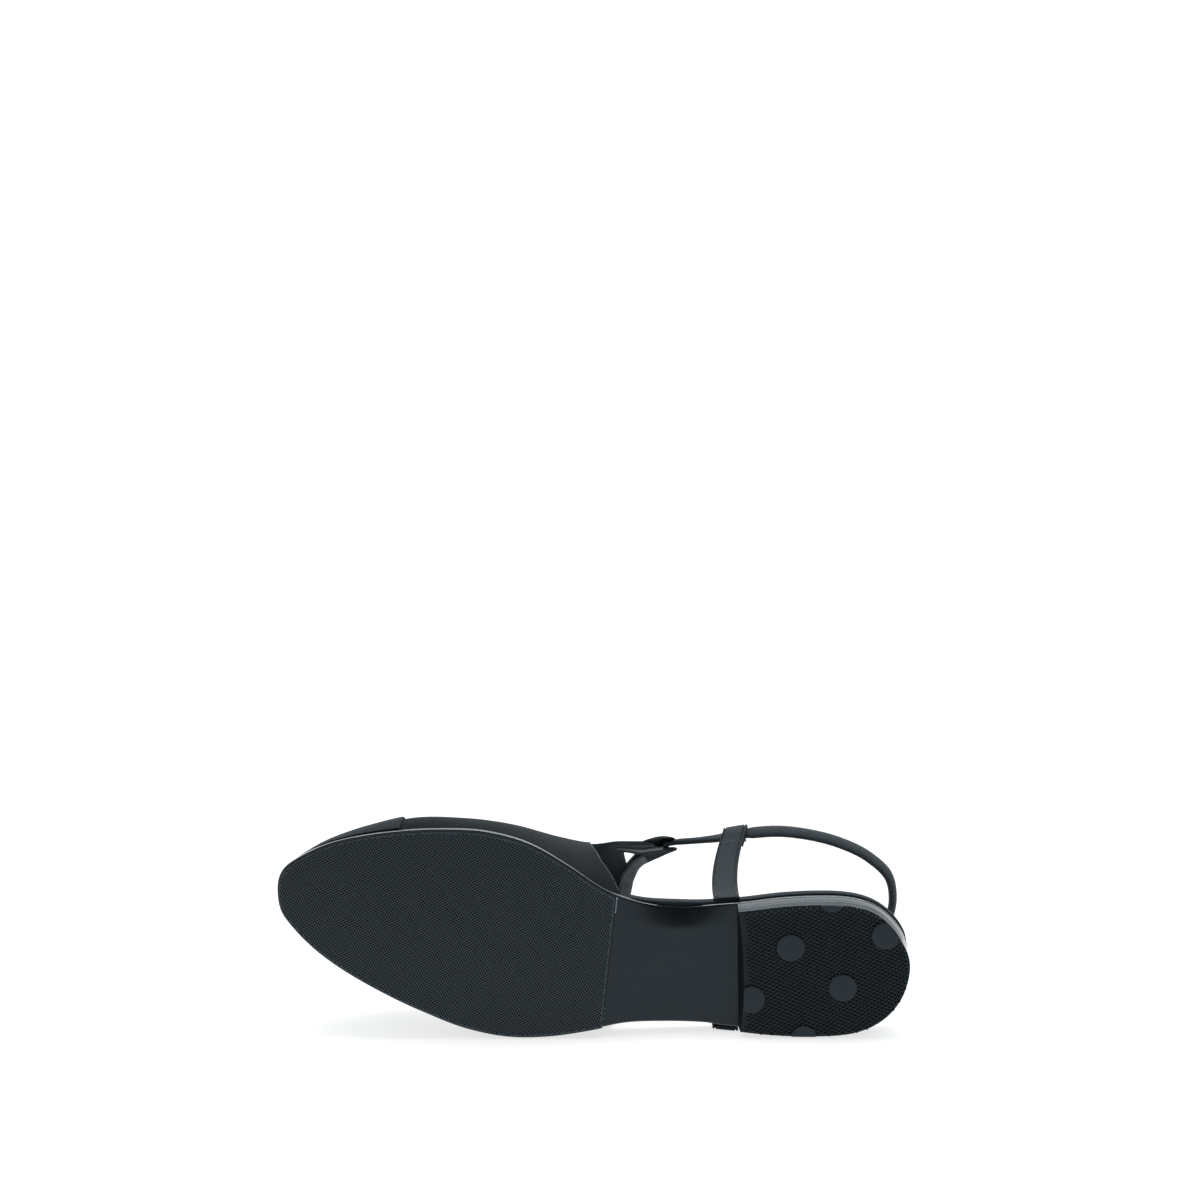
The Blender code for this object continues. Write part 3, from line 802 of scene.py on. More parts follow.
class Shell:
    """Points and faces of one piece, gathered part by part and merged where they meet."""

    def __init__(self):
        self.points = []
        self.surface = []
        self.faces = []
        self.marks = []
        self.count = 0

    def add(self, points, faces, mark=0, surface=None):
        points = np.asarray(points, float).reshape(-1, 3)
        self.points.append(points)
        self.surface.append(points[:, :2] if surface is None else np.asarray(surface).reshape(-1, 2))
        faces = np.asarray(faces, int) + self.count
        self.faces += faces.tolist()
        self.marks += [mark] * len(faces)
        self.count += len(points)

    def grid(self, points, mark=0, closed=False, surface=None):
        """Quads over rows of points; closed joins each row's end to its start."""
        rows, across = points.shape[:2]
        index = np.arange(rows * across).reshape(rows, across)
        if closed:
            index = np.concatenate([index, index[:, :1]], axis=1)
        quads = np.stack([index[:-1, :-1], index[1:, :-1], index[1:, 1:], index[:-1, 1:]], axis=-1)
        self.add(points, quads.reshape(-1, 4), mark, surface)

    def make(self, name, slot, *finishes, replaced=(), merge=MERGE):
        """The finished piece, which rides on the shoe's one body."""
        points = np.concatenate(self.points)
        mesh = bpy.data.meshes.new(name)
        mesh.from_pydata(placed(points).tolist(), [], self.faces)
        mesh.polygons.foreach_set("material_index", self.marks)
        surface = np.concatenate(self.surface)
        for label, values in (("shoe", points), ("surface", np.pad(surface, ((0, 0), (0, 1))))):
            layer = mesh.attributes.new(label, "FLOAT_VECTOR", "POINT")
            layer.data.foreach_set("vector", values.ravel())
        shape = bmesh.new()
        shape.from_mesh(mesh)
        bmesh.ops.remove_doubles(shape, verts=shape.verts, dist=merge)
        bmesh.ops.dissolve_degenerate(shape, edges=shape.edges, dist=merge)
        bmesh.ops.recalc_face_normals(shape, faces=shape.faces)
        shape.to_mesh(mesh)
        shape.free()
        mesh.shade_smooth()
        mesh.set_sharp_from_angle(angle=SHARP)
        for finish in finishes:
            mesh.materials.append(MATERIALS[finish])
        piece = bpy.data.objects.new(name, mesh)
        bpy.context.scene.collection.objects.link(piece)
        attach(piece, "root")
        if replaced:
            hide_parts(*replaced)
        return piece


def at_height(flat, height):
    height = np.broadcast_to(height, flat.shape[:-1])
    return np.concatenate([flat, height[..., None]], axis=-1)


# Outlines and slabs

def outline(inner, outer, end=None):
    """A closed outline from a tip along the inner edge to the other end and back along the outer edge."""
    end = inner[-1:] if end is None else end
    return np.concatenate([inner[:-1], end, outer[-2:0:-1]])


def inset(ring, depth):
    """An outline moved inwards by a depth, square to its edges."""
    before = units(ring - np.roll(ring, 1, axis=0))
    after = units(np.roll(ring, -1, axis=0) - ring)
    turn = units(before + after)
    square = np.stack([-turn[:, 1], turn[:, 0]], axis=1)
    reach = np.maximum(np.sum(turn * after, axis=1), MITRE_LIMIT)
    following = np.roll(ring, -1, axis=0)
    area = np.sum(ring[:, 0] * following[:, 1] - following[:, 0] * ring[:, 1])
    return ring + math.copysign(depth, area) * square / reach[:, None]


def across_rows(ring, rows, spans):
    """Rows of points across an outline, from its tip to its other end."""
    share = np.linspace(0, 1, spans + 1)[None, :, None]
    left = ring[:rows]
    right = np.concatenate([ring[:1], ring[:-rows:-1]])
    grid = left[:, None, :] * (1 - share) + right[:, None, :] * share
    end = ring[rows : len(ring) - rows + 1]
    return np.concatenate([grid, np.broadcast_to(end, (spans + 1, 2))[None]])


def slab_sides(shell, low, high, bottom, top, low_round, high_round, mark=0, front_mark=None):
    """Side of a slab between its low and high outline, with rounded edges; bottom and top give heights."""
    turns = np.linspace(0, math.pi / 2, ROUND_STEPS)
    rings = []
    for turn in turns:
        flat = inset(low, low_round * (1 - math.sin(turn)))
        rings.append(at_height(flat, bottom(flat) + low_round * (1 - math.cos(turn))))
    for turn in turns:
        flat = inset(high, high_round * (1 - math.cos(turn)))
        rings.append(at_height(flat, top(flat) - high_round * (1 - math.sin(turn))))
    shell.grid(np.stack(rings), mark, closed=True)
    if front_mark is not None:
        marks = np.full((len(rings) - 1, len(low)), mark)
        marks[:, HEEL_ROWS : HEEL_ROWS + HEEL_SPANS] = front_mark
        shell.marks[-marks.size :] = marks.ravel().tolist()


def level(height):
    """A side of a slab that is flat, at one height."""
    return lambda flat: np.full(len(flat), height)


def slab_face(shell, ring, depth, height, rows, spans, mark=0):
    """Flat side of a slab, inside its rounded edge."""
    flat = across_rows(inset(ring, depth), rows, spans)
    shell.grid(at_height(flat, height(flat.reshape(-1, 2)).reshape(flat.shape[:2])), mark)


def slab(shell, low, high, bottom, top, rounds, rows, spans, side=0, front=None, under=0):
    """A closed slab: its sides, its underside and its upper side, each with its mark."""
    slab_sides(shell, low, high, bottom, top, *rounds, side, front)
    slab_face(shell, low, rounds[0], bottom, rows, spans, under)
    slab_face(shell, high, rounds[1], top, rows, spans)


def holds(ring, points):
    """Which points (x, y) are inside an outline."""
    points = np.asarray(points)
    x, y = points[..., 0, None], points[..., 1, None]
    following = np.roll(ring, -1, axis=0)
    spans_y = (ring[:, 1] > y) != (following[:, 1] > y)
    rise = np.where(following[:, 1] == ring[:, 1], 1.0, following[:, 1] - ring[:, 1])
    crossing = ring[:, 0] + (y - ring[:, 1]) * (following[:, 0] - ring[:, 0]) / rise
    return np.sum(spans_y & (x < crossing), axis=-1) % 2 == 1


# Pieces under the foot

def corner(station):
    """How far the sole's edge stands out round the inner corner of the heel."""
    return RIM_CORNER * ease(1 - np.abs(station - RIM_CORNER_STATION) / RIM_CORNER_LENGTH)


def inner_full(station):
    """0 at the heel's tip, where inner and outer edge meet, and soon 1."""
    return ease((station - HEEL_TIP) / RIM_INNER_FULL)


def outer_flare(station, tip, side):
    """How far a layer stands out at its outer edge, from the heel's tip to the side."""
    return tip + (side - tip) * ease((station - HEEL_TIP) / OUTER_TAPER)


def sole_flare(station):
    """How far the outsole's inner edge stands out, from the waist to the heel."""
    grown = ease((SOLE_FLARE_FRONT - station) / (SOLE_FLARE_FRONT - SOLE_FLARE_BACK))
    return grown * (HEEL_FLARE + (SOLE_FLARE - HEEL_FLARE + corner(station)) * inner_full(station))


def make_outsole():
    angle = np.linspace(0, math.pi, SOLE_ROWS + 1)
    station = station_of(angle)
    at_heel = ease((BREAST_INNER + SOLE_FLARE_LENGTH - station) / SOLE_FLARE_LENGTH)
    side = SOLE_OUTER_FLARE + (HEEL_OUTER_FLARE - SOLE_OUTER_FLARE) * at_heel
    outer = outer_flare(station, HEEL_FLARE, side) * ease((TOE_TIP - station) / SOLE_FLARE_LENGTH)
    ring = outline(plan_edge(angle, "inner", sole_flare(station)), plan_edge(angle, "outer", outer))

    def bottom(flat):
        edge = plan_edge(sweep_of(flat[:, 0]), "inner")[:, 1] + sole_flare(flat[:, 0])
        from_edge = edge - flat[:, 1]
        along = np.abs(flat[:, 0] - WAIST_ROLL_CENTRE) / WAIST_ROLL_LENGTH
        roll = np.clip(1 - from_edge / WAIST_ROLL_WIDTH, 0, 1) ** WAIST_ROLL_POWER
        return sole_bottom(flat[:, 0]) + WAIST_ROLL * roll * ease(1 - along)

    def top(flat):
        return sole_top(flat[:, 0])

    shell = Shell()
    slab(shell, ring, ring, bottom, top, (SOLE_ROUND, SOLE_ROUND), SOLE_ROWS, SOLE_SPANS, 1)
    shell.make("outsole_body", "outsole", "sole_leather", "sole_edge", replaced=("outsole",))


def pit_field(shell, ring):
    """The tread's pits inside an outline; gives their border points, its edges and a test for cells."""
    along = np.array([math.cos(PIT_TURN), math.sin(PIT_TURN)])
    turned = np.stack([along, [-along[1], along[0]]])
    spread = ring @ turned.T / PIT_PITCH
    low = np.floor(spread.min(axis=0)).astype(int)
    cells = np.ceil(spread.max(axis=0)).astype(int) - low

    def flat_at(steps):
        return (low + steps) * PIT_PITCH @ turned

    steps = np.stack(np.meshgrid(*(np.arange(count + 1) for count in cells), indexing="ij"), axis=-1)
    corner_in = holds(inset(ring, PIT_MARGIN), flat_at(steps))
    whole = corner_in[:-1, :-1] & corner_in[1:, :-1] & corner_in[1:, 1:] & corner_in[:-1, 1:]
    cell = np.stack(np.nonzero(whole), axis=1)[:, None, :]
    square = np.array([(0, 0), (1, 0), (1, 1), (0, 1)])
    corners, outer = np.unique((cell + square) @ (cells[1] + 1, 1), return_inverse=True)
    outer = outer.reshape(-1, 4)
    shares = (PIT_EDGE / 2, PIT_EDGE / 2 + PIT_WALL)
    top, floor = (flat_at(cell + square * (1 - 2 * share) + share) for share in shares)
    depth = np.full(len(cell), PIT_DEPTH)
    for centre in FOREFOOT_ROUNDS:
        off = np.abs(np.linalg.norm(flat_at(cell[:, 0] + 0.5) - np.array(centre), axis=-1) - RING_RADIUS)
        depth = np.where(off < RING_HALF_WIDTH, depth * RING_DEPTH, depth)
    border_flat = flat_at(np.stack(np.divmod(corners, cells[1] + 1), axis=1))
    border_points = at_height(border_flat, ground(border_flat[:, 0]))
    top_points = at_height(top, ground(top[..., 0])).reshape(-1, 3)
    floor_points = at_height(floor, ground(floor[..., 0]) + depth[:, None]).reshape(-1, 3)
    in_top = len(corners) + np.arange(len(top_points)).reshape(-1, 4)
    in_floor = in_top + len(top_points)

    def band(first, second):
        rows = (first, np.roll(first, -1, axis=1), np.roll(second, -1, axis=1), second)
        return np.stack(rows, axis=-1).reshape(-1, 4)

    shell.add(np.concatenate([border_points, top_points]), band(outer, in_top))
    # The pits' walls and floors take the second finish, which paints shade into them
    deep = np.concatenate([band(in_top, in_floor), in_floor]) - len(corners)
    shell.add(np.concatenate([top_points, floor_points]), deep, 1)
    edges = np.sort(np.stack([outer, np.roll(outer, -1, axis=1)], axis=-1).reshape(-1, 2), axis=1)
    edges, uses = np.unique(edges, axis=0, return_counts=True)

    def in_cells(places):
        """Which points (x, y) lie over a whole cell."""
        at = np.floor(places @ turned.T / PIT_PITCH).astype(int) - low
        inside = np.all((at >= 0) & (at < whole.shape), axis=1)
        at = np.clip(at, 0, np.array(whole.shape) - 1)
        return inside & whole[at[:, 0], at[:, 1]]

    return border_points, edges[uses == 1], in_cells


def make_forefoot_tread():
    angle = np.linspace(math.pi, sweep_of(TREAD_BACK), TREAD_ROWS + 1)
    inner = plan_edge(angle, "inner", -TREAD_INSET)
    from_tip = ease((TOE_TIP - station_of(angle)) / SOLE_FLARE_LENGTH)
    outer = plan_edge(angle, "outer", -TREAD_INSET + (TREAD_INSET - TREAD_OUTER_INSET) * from_tip)
    share = np.linspace(0, 1, TREAD_SPANS + 1)[:, None]
    ring = outline(inner, outer, inner[-1] * (1 - share) + outer[-1] * share)

    def bottom(flat):
        return ground(flat[:, 0])

    def top(flat):
        return ground(flat[:, 0]) + TREAD_THICK

    shell = Shell()
    # The tread's sides take the second finish, which paints a dark line of shade along its edge
    slab_sides(shell, ring, ring, bottom, top, TREAD_ROUND, TREAD_ROUND, 1)
    slab_face(shell, ring, TREAD_ROUND, top, TREAD_ROWS, TREAD_SPANS)
    rim = inset(ring, TREAD_ROUND)
    points, border, in_cells = pit_field(shell, rim)
    marks, edges = np.unique(border, return_inverse=True)
    flat = np.concatenate([rim, points[marks, :2]])
    count = len(rim)
    walls = [(i, (i + 1) % count) for i in range(count)]
    walls += [(int(a) + count, int(b) + count) for a, b in edges.reshape(-1, 2)]
    made = geometry.delaunay_2d_cdt([Vector(p) for p in flat], walls, [], 0, NEAR)
    verts = np.array([tuple(v) for v in made[0]])
    triangles = np.array(made[2])
    middles = verts[triangles].mean(axis=1)
    triangles = triangles[holds(rim, middles) & ~in_cells(middles)]
    shell.add(at_height(verts, ground(verts[:, 0])), triangles)
    finishes = ("tread_rubber", "rubber_painted_shade")
    shell.make("tread_body", "tread", *finishes, replaced=("forefoot_tread",), merge=TREAD_MERGE)


def heel_outline(edge_inset, inner_inset, outer_inset, rise):
    """Plan of the heel at a rise from the ground, 0, to the sole, 1, with its hollow front face."""
    share = np.linspace(0, 1, HEEL_ROWS + 1)
    angle = share * sweep_of(BREAST_INNER)
    station = station_of(angle)
    deeper = (inner_inset - edge_inset - corner(station)) * inner_full(station)
    inner = plan_edge(angle, "inner", -edge_inset - deeper)
    angle = share * sweep_of(BREAST_OUTER + BREAST_LEAN * rise)
    outer = plan_edge(angle, "outer", outer_flare(station_of(angle), -edge_inset, -outer_inset))
    across = np.linspace(0, 1, HEEL_SPANS + 1)[:, None]
    end = inner[-1] * (1 - across) + outer[-1] * across
    end[:, 0] -= BREAST_SAG * (1 - rise) * (1 - (2 * across[:, 0] - 1) ** 2)
    return outline(inner, outer, end)


def make_heel_block():
    """A low block whose inner wall leans out towards the sole."""
    floor = LIFT_THICK + GAP
    low = heel_outline(-HEEL_FLARE, LIFT_TOP_INSET, -HEEL_OUTER_FLARE, floor / (floor + BLOCK_THICK))
    high = heel_outline(-HEEL_FLARE, -BLOCK_FLARE, -HEEL_OUTER_FLARE, 1.0)
    rounds = (HEEL_ROUND, HEEL_ROUND)
    shell = Shell()
    # The hollow front face takes the second finish, which paints the breast's shade
    slab(shell, low, high, level(floor), level(floor + BLOCK_THICK), rounds, HEEL_ROWS, HEEL_SPANS, 0, 1)
    shell.make("heel_block_body", "heel_block", "sole_edge", "rubber_painted_shade", replaced=("heel_block",))


def make_heel_lift():
    """The top piece: a plate with nubs that stand on it and plain rounds between them."""
    low = heel_outline(LIFT_INSET, LIFT_INNER_INSET, LIFT_OUTER_INSET, 0.0)
    rise = LIFT_THICK / (LIFT_THICK + GAP + BLOCK_THICK)
    high = heel_outline(LIFT_INSET, LIFT_TOP_INSET, LIFT_OUTER_INSET, rise)
    rounds = (HEEL_ROUND / 2, HEEL_ROUND)
    shell = Shell()
    # The sides are glossy edge; the plate between the nubs and the hollow front face take finishes with
    # painted shade
    slab(shell, low, high, level(NUB_HEIGHT), level(LIFT_THICK), rounds, HEEL_ROWS, HEEL_SPANS, 1, 3, 2)
    add_rounds(shell, low)
    add_nubs(shell, low)
    finishes = ("lift_rubber", "sole_edge", "lift_ground_painted_shade", "rubber_painted_shade")
    shell.make("top_lift_body", "top_lift", *finishes, replaced=("heel_top_lift",))


def dome(shell, centres, reach, profile):
    """Low closed bosses: profile gives (share of the reach, height) from foot to top."""
    sides = reach.shape[1]
    rings = []
    for share, height in profile:
        flat = centres[:, None, :] + circle(sides) * (reach * share)[..., None]
        rings.append(at_height(flat, height))
    for rows in np.stack(rings, axis=1):
        shell.grid(rows, closed=True)
        shell.add(rows[0], [list(range(sides))])
        shell.add(rows[-1], [list(range(sides))])


def add_rounds(shell, ring):
    """Plain rounds, cut off where they cross the edge of the heel."""
    rim = inset(ring, HEEL_ROUND / 2)
    steps = np.linspace(0, 2 * ROUND_RADIUS, ROUND_RAY_STEPS)
    spread = np.linspace(-ROUND_RADIUS, ROUND_RADIUS, ROUND_FIELD)
    field = np.stack(np.meshgrid(spread, spread), axis=-1).reshape(-1, 2)
    middles, reaches = [], []
    for centre in np.array(HEEL_ROUNDS):
        within = field[np.linalg.norm(field, axis=1) < ROUND_RADIUS] + centre
        middle = within[holds(rim, within)].mean(axis=0)
        rays = middle + circle(ROUND_SIDES)[:, None, :] * steps[:, None]
        inside = holds(rim, rays) & (np.linalg.norm(rays - centre, axis=-1) < ROUND_RADIUS)
        middles.append(middle)
        reaches.append(steps[np.argmin(inside, axis=1) - 1])
    dome(shell, np.array(middles), np.array(reaches), ROUND_PROFILE)


def add_nubs(shell, ring):
    """Rows of small rounded nubs over the rest of the plate."""
    rim = inset(ring, NUB_MARGIN)
    along = np.array([math.cos(NUB_TURN), math.sin(NUB_TURN)])
    aside = np.array([-along[1], along[0]])
    count = int(2 * TOE_TIP / NUB_PITCH)
    row, place = np.meshgrid(np.arange(-count, count), np.arange(-count, count), indexing="ij")
    u = row * NUB_PITCH * math.sqrt(3) / 2
    v = (place + 0.5 * (row % 2)) * NUB_PITCH
    centres = (u[..., None] * along + v[..., None] * aside).reshape(-1, 2)
    near = (centres[:, 0] > 0) & (centres[:, 0] < BREAST_INNER - BREAST_STRIP)
    centres = centres[near & (np.abs(centres[:, 1]) < HEEL_REACH)]
    centres = centres[holds(rim, centres) & holds(rim, centres + np.array([BREAST_STRIP, 0.0]))]
    for middle in HEEL_ROUNDS:
        away = np.linalg.norm(centres - np.array(middle), axis=1)
        centres = centres[away > ROUND_RADIUS - NUB_RADIUS / 2]
    reach = np.full((len(centres), NUB_SIDES), NUB_RADIUS)
    dome(shell, centres, reach, NUB_PROFILE)


def make_insole():
    """Wrapped footbed: its rim shows at waist and heel, and in the upper it is narrower and thinner."""
    angle = np.linspace(0, math.pi, SOLE_ROWS + 1)
    steps = sweep_of(np.linspace(RIM_BACK, RIM_FRONT, RIM_STEPS))
    angle = np.unique(np.concatenate([angle, steps]))
    rows = len(angle) - 1
    station = station_of(angle)
    in_upper = ease((station - RIM_BACK) / (RIM_FRONT - RIM_BACK))
    toe = ease((station - CAP_EDGE) / (TOE_TIP - CAP_EDGE))
    hidden = -FEATHER_INSET - WALL - GAP - INSOLE_TOE_INSET * toe
    rim = RIM_INNER + (RIM_INNER_FRONT - RIM_INNER) * ease((station - RIM_FALL) / RIM_FALL_LENGTH)
    inner_rim = RIM_OUTER + (rim - RIM_OUTER + corner(station)) * inner_full(station)
    inner = plan_edge(angle, "inner", inner_rim + in_upper * (hidden - inner_rim))
    outer_rim = outer_flare(station, RIM_OUTER, RIM_OUTER_SIDE)
    outer = plan_edge(angle, "outer", outer_rim + in_upper * (hidden - outer_rim))
    ring = outline(inner, outer)

    def bottom(flat):
        return sole_top(flat[:, 0]) + GAP

    def top(flat):
        share = ease((flat[:, 0] - BED_BACK) / (BED_FRONT - BED_BACK))
        return bottom(flat) + RIM_THICK + share * (INSOLE_THICK - RIM_THICK)

    shell = Shell()
    slab(shell, ring, ring, bottom, top, (INSOLE_ROUND, INSOLE_ROUND), rows, BED_SPANS)
    shell.make("footbed", "insole", "insole_wrap", replaced=("insole",))


# Upper and toe cap

def edge_rows(edge, rows):
    """Angles from a rear edge to the toe, close together at the edge, and how full the wall is there."""
    rounding = EDGE_ROUND * np.linspace(0, 1, EDGE_ROWS) ** 2
    full = np.sqrt(1 - (1 - rounding / EDGE_ROUND) ** 2)
    near = sweep_of(edge[:, None] + rounding)
    share = np.linspace(0, 1, rows)[None, 1:]
    far = near[:, -1:] + (math.pi - near[:, -1:]) * share
    return np.concatenate([near, far], axis=1), np.append(full, np.ones(rows - 1))


def surface_measure(points):
    """Millimetres along the girth and along the length, for the weave."""
    round_step = np.linalg.norm(np.diff(points, axis=0, prepend=points[:1]), axis=-1)
    long_step = np.linalg.norm(np.diff(points, axis=1, prepend=points[:, :1]), axis=-1)
    return np.stack([np.cumsum(round_step, axis=0), np.cumsum(long_step, axis=1)], axis=-1)


def layer(shell, angle, girth, middle, half, full):
    """A wall over the last: its outside, its inside and its rims."""
    outside = over_last(angle, girth, middle + half * full)
    inside = over_last(angle, girth, middle - half * full)
    measure = surface_measure(outside)
    shell.grid(outside, 0, surface=measure)
    shell.grid(inside, 1, surface=measure)
    for side in (0, -1):
        shell.grid(np.stack([outside[side], inside[side]]), 0)
    for end in (0, -1):
        shell.grid(np.stack([outside[:, end], inside[:, end]]), 0)


def make_upper():
    girth = np.linspace(0, 1, UPPER_GIRTHS)
    angle, full = edge_rows(topline(girth), UPPER_ROWS)
    girth = np.broadcast_to(girth[:, None], angle.shape)
    swell = seat_swell(station_of(angle), girth)
    middle = (SEAT_OUT - SEAT_IN) / 2 * swell + (textile(girth) - WALL) / 2
    half = (SEAT_OUT + SEAT_IN) / 2 * swell + (textile(girth) + WALL) / 2
    shell = Shell()
    layer(shell, angle, girth, middle, half, full)
    upper = shell.make("upper_body", "upper", "upper_textile", "lining", replaced=("upper",))
    cut_keyhole(upper)


def cut_keyhole(upper):
    """A three-cornered hole with soft corners through the instep."""
    station, girth = (column(KEYHOLE, KEYHOLE_COLUMNS, name) for name in KEYHOLE_COLUMNS)
    middle = last_normal(sweep_of(station.mean()), girth.mean())
    corners = last_point(sweep_of(station), girth)
    loop = []
    for before, here, after in zip(np.roll(corners, 1, axis=0), corners, np.roll(corners, -1, axis=0)):
        start = here + (before - here) * KEYHOLE_ROUND
        end = here + (after - here) * KEYHOLE_ROUND
        for t in np.linspace(0, 1, ROUND_STEPS):
            loop.append(start * (1 - t) ** 2 + 2 * here * t * (1 - t) + end * t**2)
    loop = np.array(loop)
    rings = np.stack([loop - KEYHOLE_DEPTH * middle, loop + KEYHOLE_DEPTH * middle])
    shell = Shell()
    shell.grid(rings, closed=True)
    for ring in rings:
        shell.add(ring, [list(range(len(ring)))])
    cutter = shell.make("keyhole_cutter", "upper", "lining")
    cut = upper.modifiers.new("keyhole", "BOOLEAN")
    cut.object = cutter
    cut.operation = "DIFFERENCE"
    graph = bpy.context.evaluated_depsgraph_get()
    done = bpy.data.meshes.new_from_object(upper.evaluated_get(graph))
    upper.modifiers.clear()
    upper.data = done
    bpy.data.objects.remove(cutter)


def edge_line(span, samples):
    """The upper's rear edge between two girths, evenly spaced: millimetres of girth, and station."""
    girth = np.linspace(*span, EDGE_SAMPLES)
    line = np.stack([girth * GIRTH_SPAN, topline(girth)], axis=1)
    places = run_length(line)
    even = np.linspace(0, places[-1], samples)
    return np.stack([np.interp(even, places, values) for values in line.T], axis=1)


def beside_edge(line, distance):
    """Angle and girth of the edge line moved a distance into the upper."""
    along = units(np.gradient(line, axis=0))
    blur = np.full(2 * EDGE_BLUR + 1, 1 / (2 * EDGE_BLUR + 1))
    padded = np.pad(along, ((EDGE_BLUR, EDGE_BLUR), (0, 0)), mode="edge")
    along = np.stack([np.convolve(values, blur, mode="valid") for values in padded.T], axis=1)
    moved = line + distance * units(np.stack([-along[:, 1], along[:, 0]], axis=1))
    return sweep_of(moved[:, 1]), moved[:, 0] / GIRTH_SPAN


def make_facing():
    """Ribbed tape inside the upper, along its rear edge."""
    line = edge_line(FACING, FACING_ROWS)
    across = np.linspace(0, 1, FACING_SPANS)
    sides = [beside_edge(line, FACING_START + FACING_WIDTH * share) for share in across]
    angle, girth = (np.stack(values, axis=1) for values in zip(*sides))
    lining = -WALL - SEAT_IN * seat_swell(station_of(angle), girth)
    full = np.sqrt(1 - (2 * across - 1) ** TAPE_EDGE_POWER)
    shell = Shell()
    layer(shell, angle, girth, lining - FACING_THICK / 4, FACING_THICK, full)
    # The tape's light tone is partly painted light
    shell.make("facing", "upper", "facing_tape_and_painted_light", "facing_tape_and_painted_light")


def make_tab_tape():
    """Narrow end of the tape, inside the tab between its edge and the keyhole."""
    rows = smooth_curve(TAB_TAPE, TAB_TAPE_ROWS)
    across = np.linspace(-1, 1, FACING_SPANS)
    angle = np.tile(sweep_of(rows[:, :1]), (1, len(across)))
    girth = rows[:, 1:2] + rows[:, 2:3] * across
    shell = Shell()
    middle = np.full(angle.shape, -WALL - FACING_THICK / 4)
    layer(shell, angle, girth, middle, FACING_THICK, np.sqrt(1 - across**TAPE_EDGE_POWER))
    # The tape's light tone is partly painted light
    shell.make("tab_tape", "upper", "facing_tape_and_painted_light", "facing_tape_and_painted_light")


def make_tab_lip():
    """The upper's outer layer where it arches over the cord's end."""
    t = np.linspace(0, 1, LIP_ROWS)[None, :]
    w = np.linspace(-1, 1, LIP_SPANS)[:, None]
    off_point = np.where(w > LIP_POINT, LIP_FAR_BOW, 1.0) * (w - LIP_POINT)
    station = LIP_ROOT + (LIP_TIP + LIP_BOW * off_point**2 - LIP_ROOT) * t
    girth = LIP_GIRTH + LIP_HALF_GIRTH * w
    arch = 1 - ((w - LIP_CREST) / (1 + np.sign(LIP_CREST - w) * LIP_CREST)) ** 2
    droop = 1 - LIP_DROOP * ease((t - LIP_DROOP_START) / (1 - LIP_DROOP_START))
    rise = LIP_RISE * ease((t - LIP_LIFT[0]) / LIP_LIFT[1]) * arch * droop
    half = LIP_THICK / 2 * np.sqrt(1 - w**TAPE_EDGE_POWER) * ease(t / LIP_TAPER)
    middle = TEXTILE - LIP_SUNK + rise + half
    shell = Shell()
    layer(shell, sweep_of(station), girth, middle, half, np.sqrt(1 - t**LIP_TIP_POWER))
    shell.make("tab_lip", "upper", "upper_textile", "lining")


def make_toe_cap():
    girth = np.linspace(0, 1, CAP_GIRTHS)
    edge = CAP_EDGE - CAP_EDGE_BOW * np.sin(math.pi * girth)
    angle, full = edge_rows(edge, CAP_ROWS)
    girth = np.broadcast_to(girth[:, None], angle.shape)
    thinned = ease((station_of(angle) - CAP_THIN_START) / (TOE_TIP - CAP_THIN_START))
    half = CAP_THICK / 2 * (1 - CAP_THIN * thinned)
    shell = Shell()
    layer(shell, angle, girth, GAP + half, half, full)
    shell.make("toe_cap_body", "toe_cap", "cap_textile", "lining", replaced=("toe_cap",))


# Straps and sling

def smooth_curve(points, samples):
    """Points along a smooth curve through given ones, evenly spaced."""
    points = np.asarray(points, float)
    knots = run_length(points[:, :3])
    places = np.linspace(0, knots[-1], samples)
    return np.stack([through(knots, values, places) for values in points.T], axis=-1)


def face_normals(route, widths):
    """Directions square to a strap's face."""
    return units(np.cross(np.gradient(route, axis=0), widths))


def strap_route(rows, loop, side):
    """Middle line and width directions of a strap that climbs, folds over the sling and ends in a flap."""
    outwards = 1.0 if side == "inner" else -1.0
    climb = smooth_curve(rows, STRAP_ROWS)
    centre = np.array(SLING[loop])
    top_width = units(np.array(SLING[loop - 1]) - np.array(SLING[loop + 1])) * outwards
    base = sweep_of(rows[0][0])
    edge = plan_edge(base + BASE_SWING, side) - plan_edge(base - BASE_SWING, side)
    base_width = units(np.append(edge, 0.0))
    share = ease(np.linspace(0, 1, len(climb)))[:, None]
    widths = base_width * (1 - share) + top_width * share
    clear = LOOP_CLEAR + STRAP_THICK / 2
    turn = np.linspace(FOLD_START, FOLD_END, FOLD_ROWS)
    fold = np.tile(centre, (len(turn), 1))
    fold[:, 1] += outwards * (SLING_HALF_THICK + clear) * np.cos(turn)
    fold[:, 2] += (SLING_HALF_WIDTH + clear) * np.sin(turn)
    inwards = -outwards * face_normals(climb, widths)
    flap = (climb + FLAP_STEP * inwards)[-2 : -2 - FLAP_ROWS : -1]
    route = np.concatenate([climb, fold, flap])
    widths = np.concatenate([widths, np.tile(top_width, (len(fold) + len(flap), 1))])
    both = smooth_curve(np.concatenate([route, widths], axis=1), STRAP_RINGS)
    return both[:, :3], units(both[:, 3:])


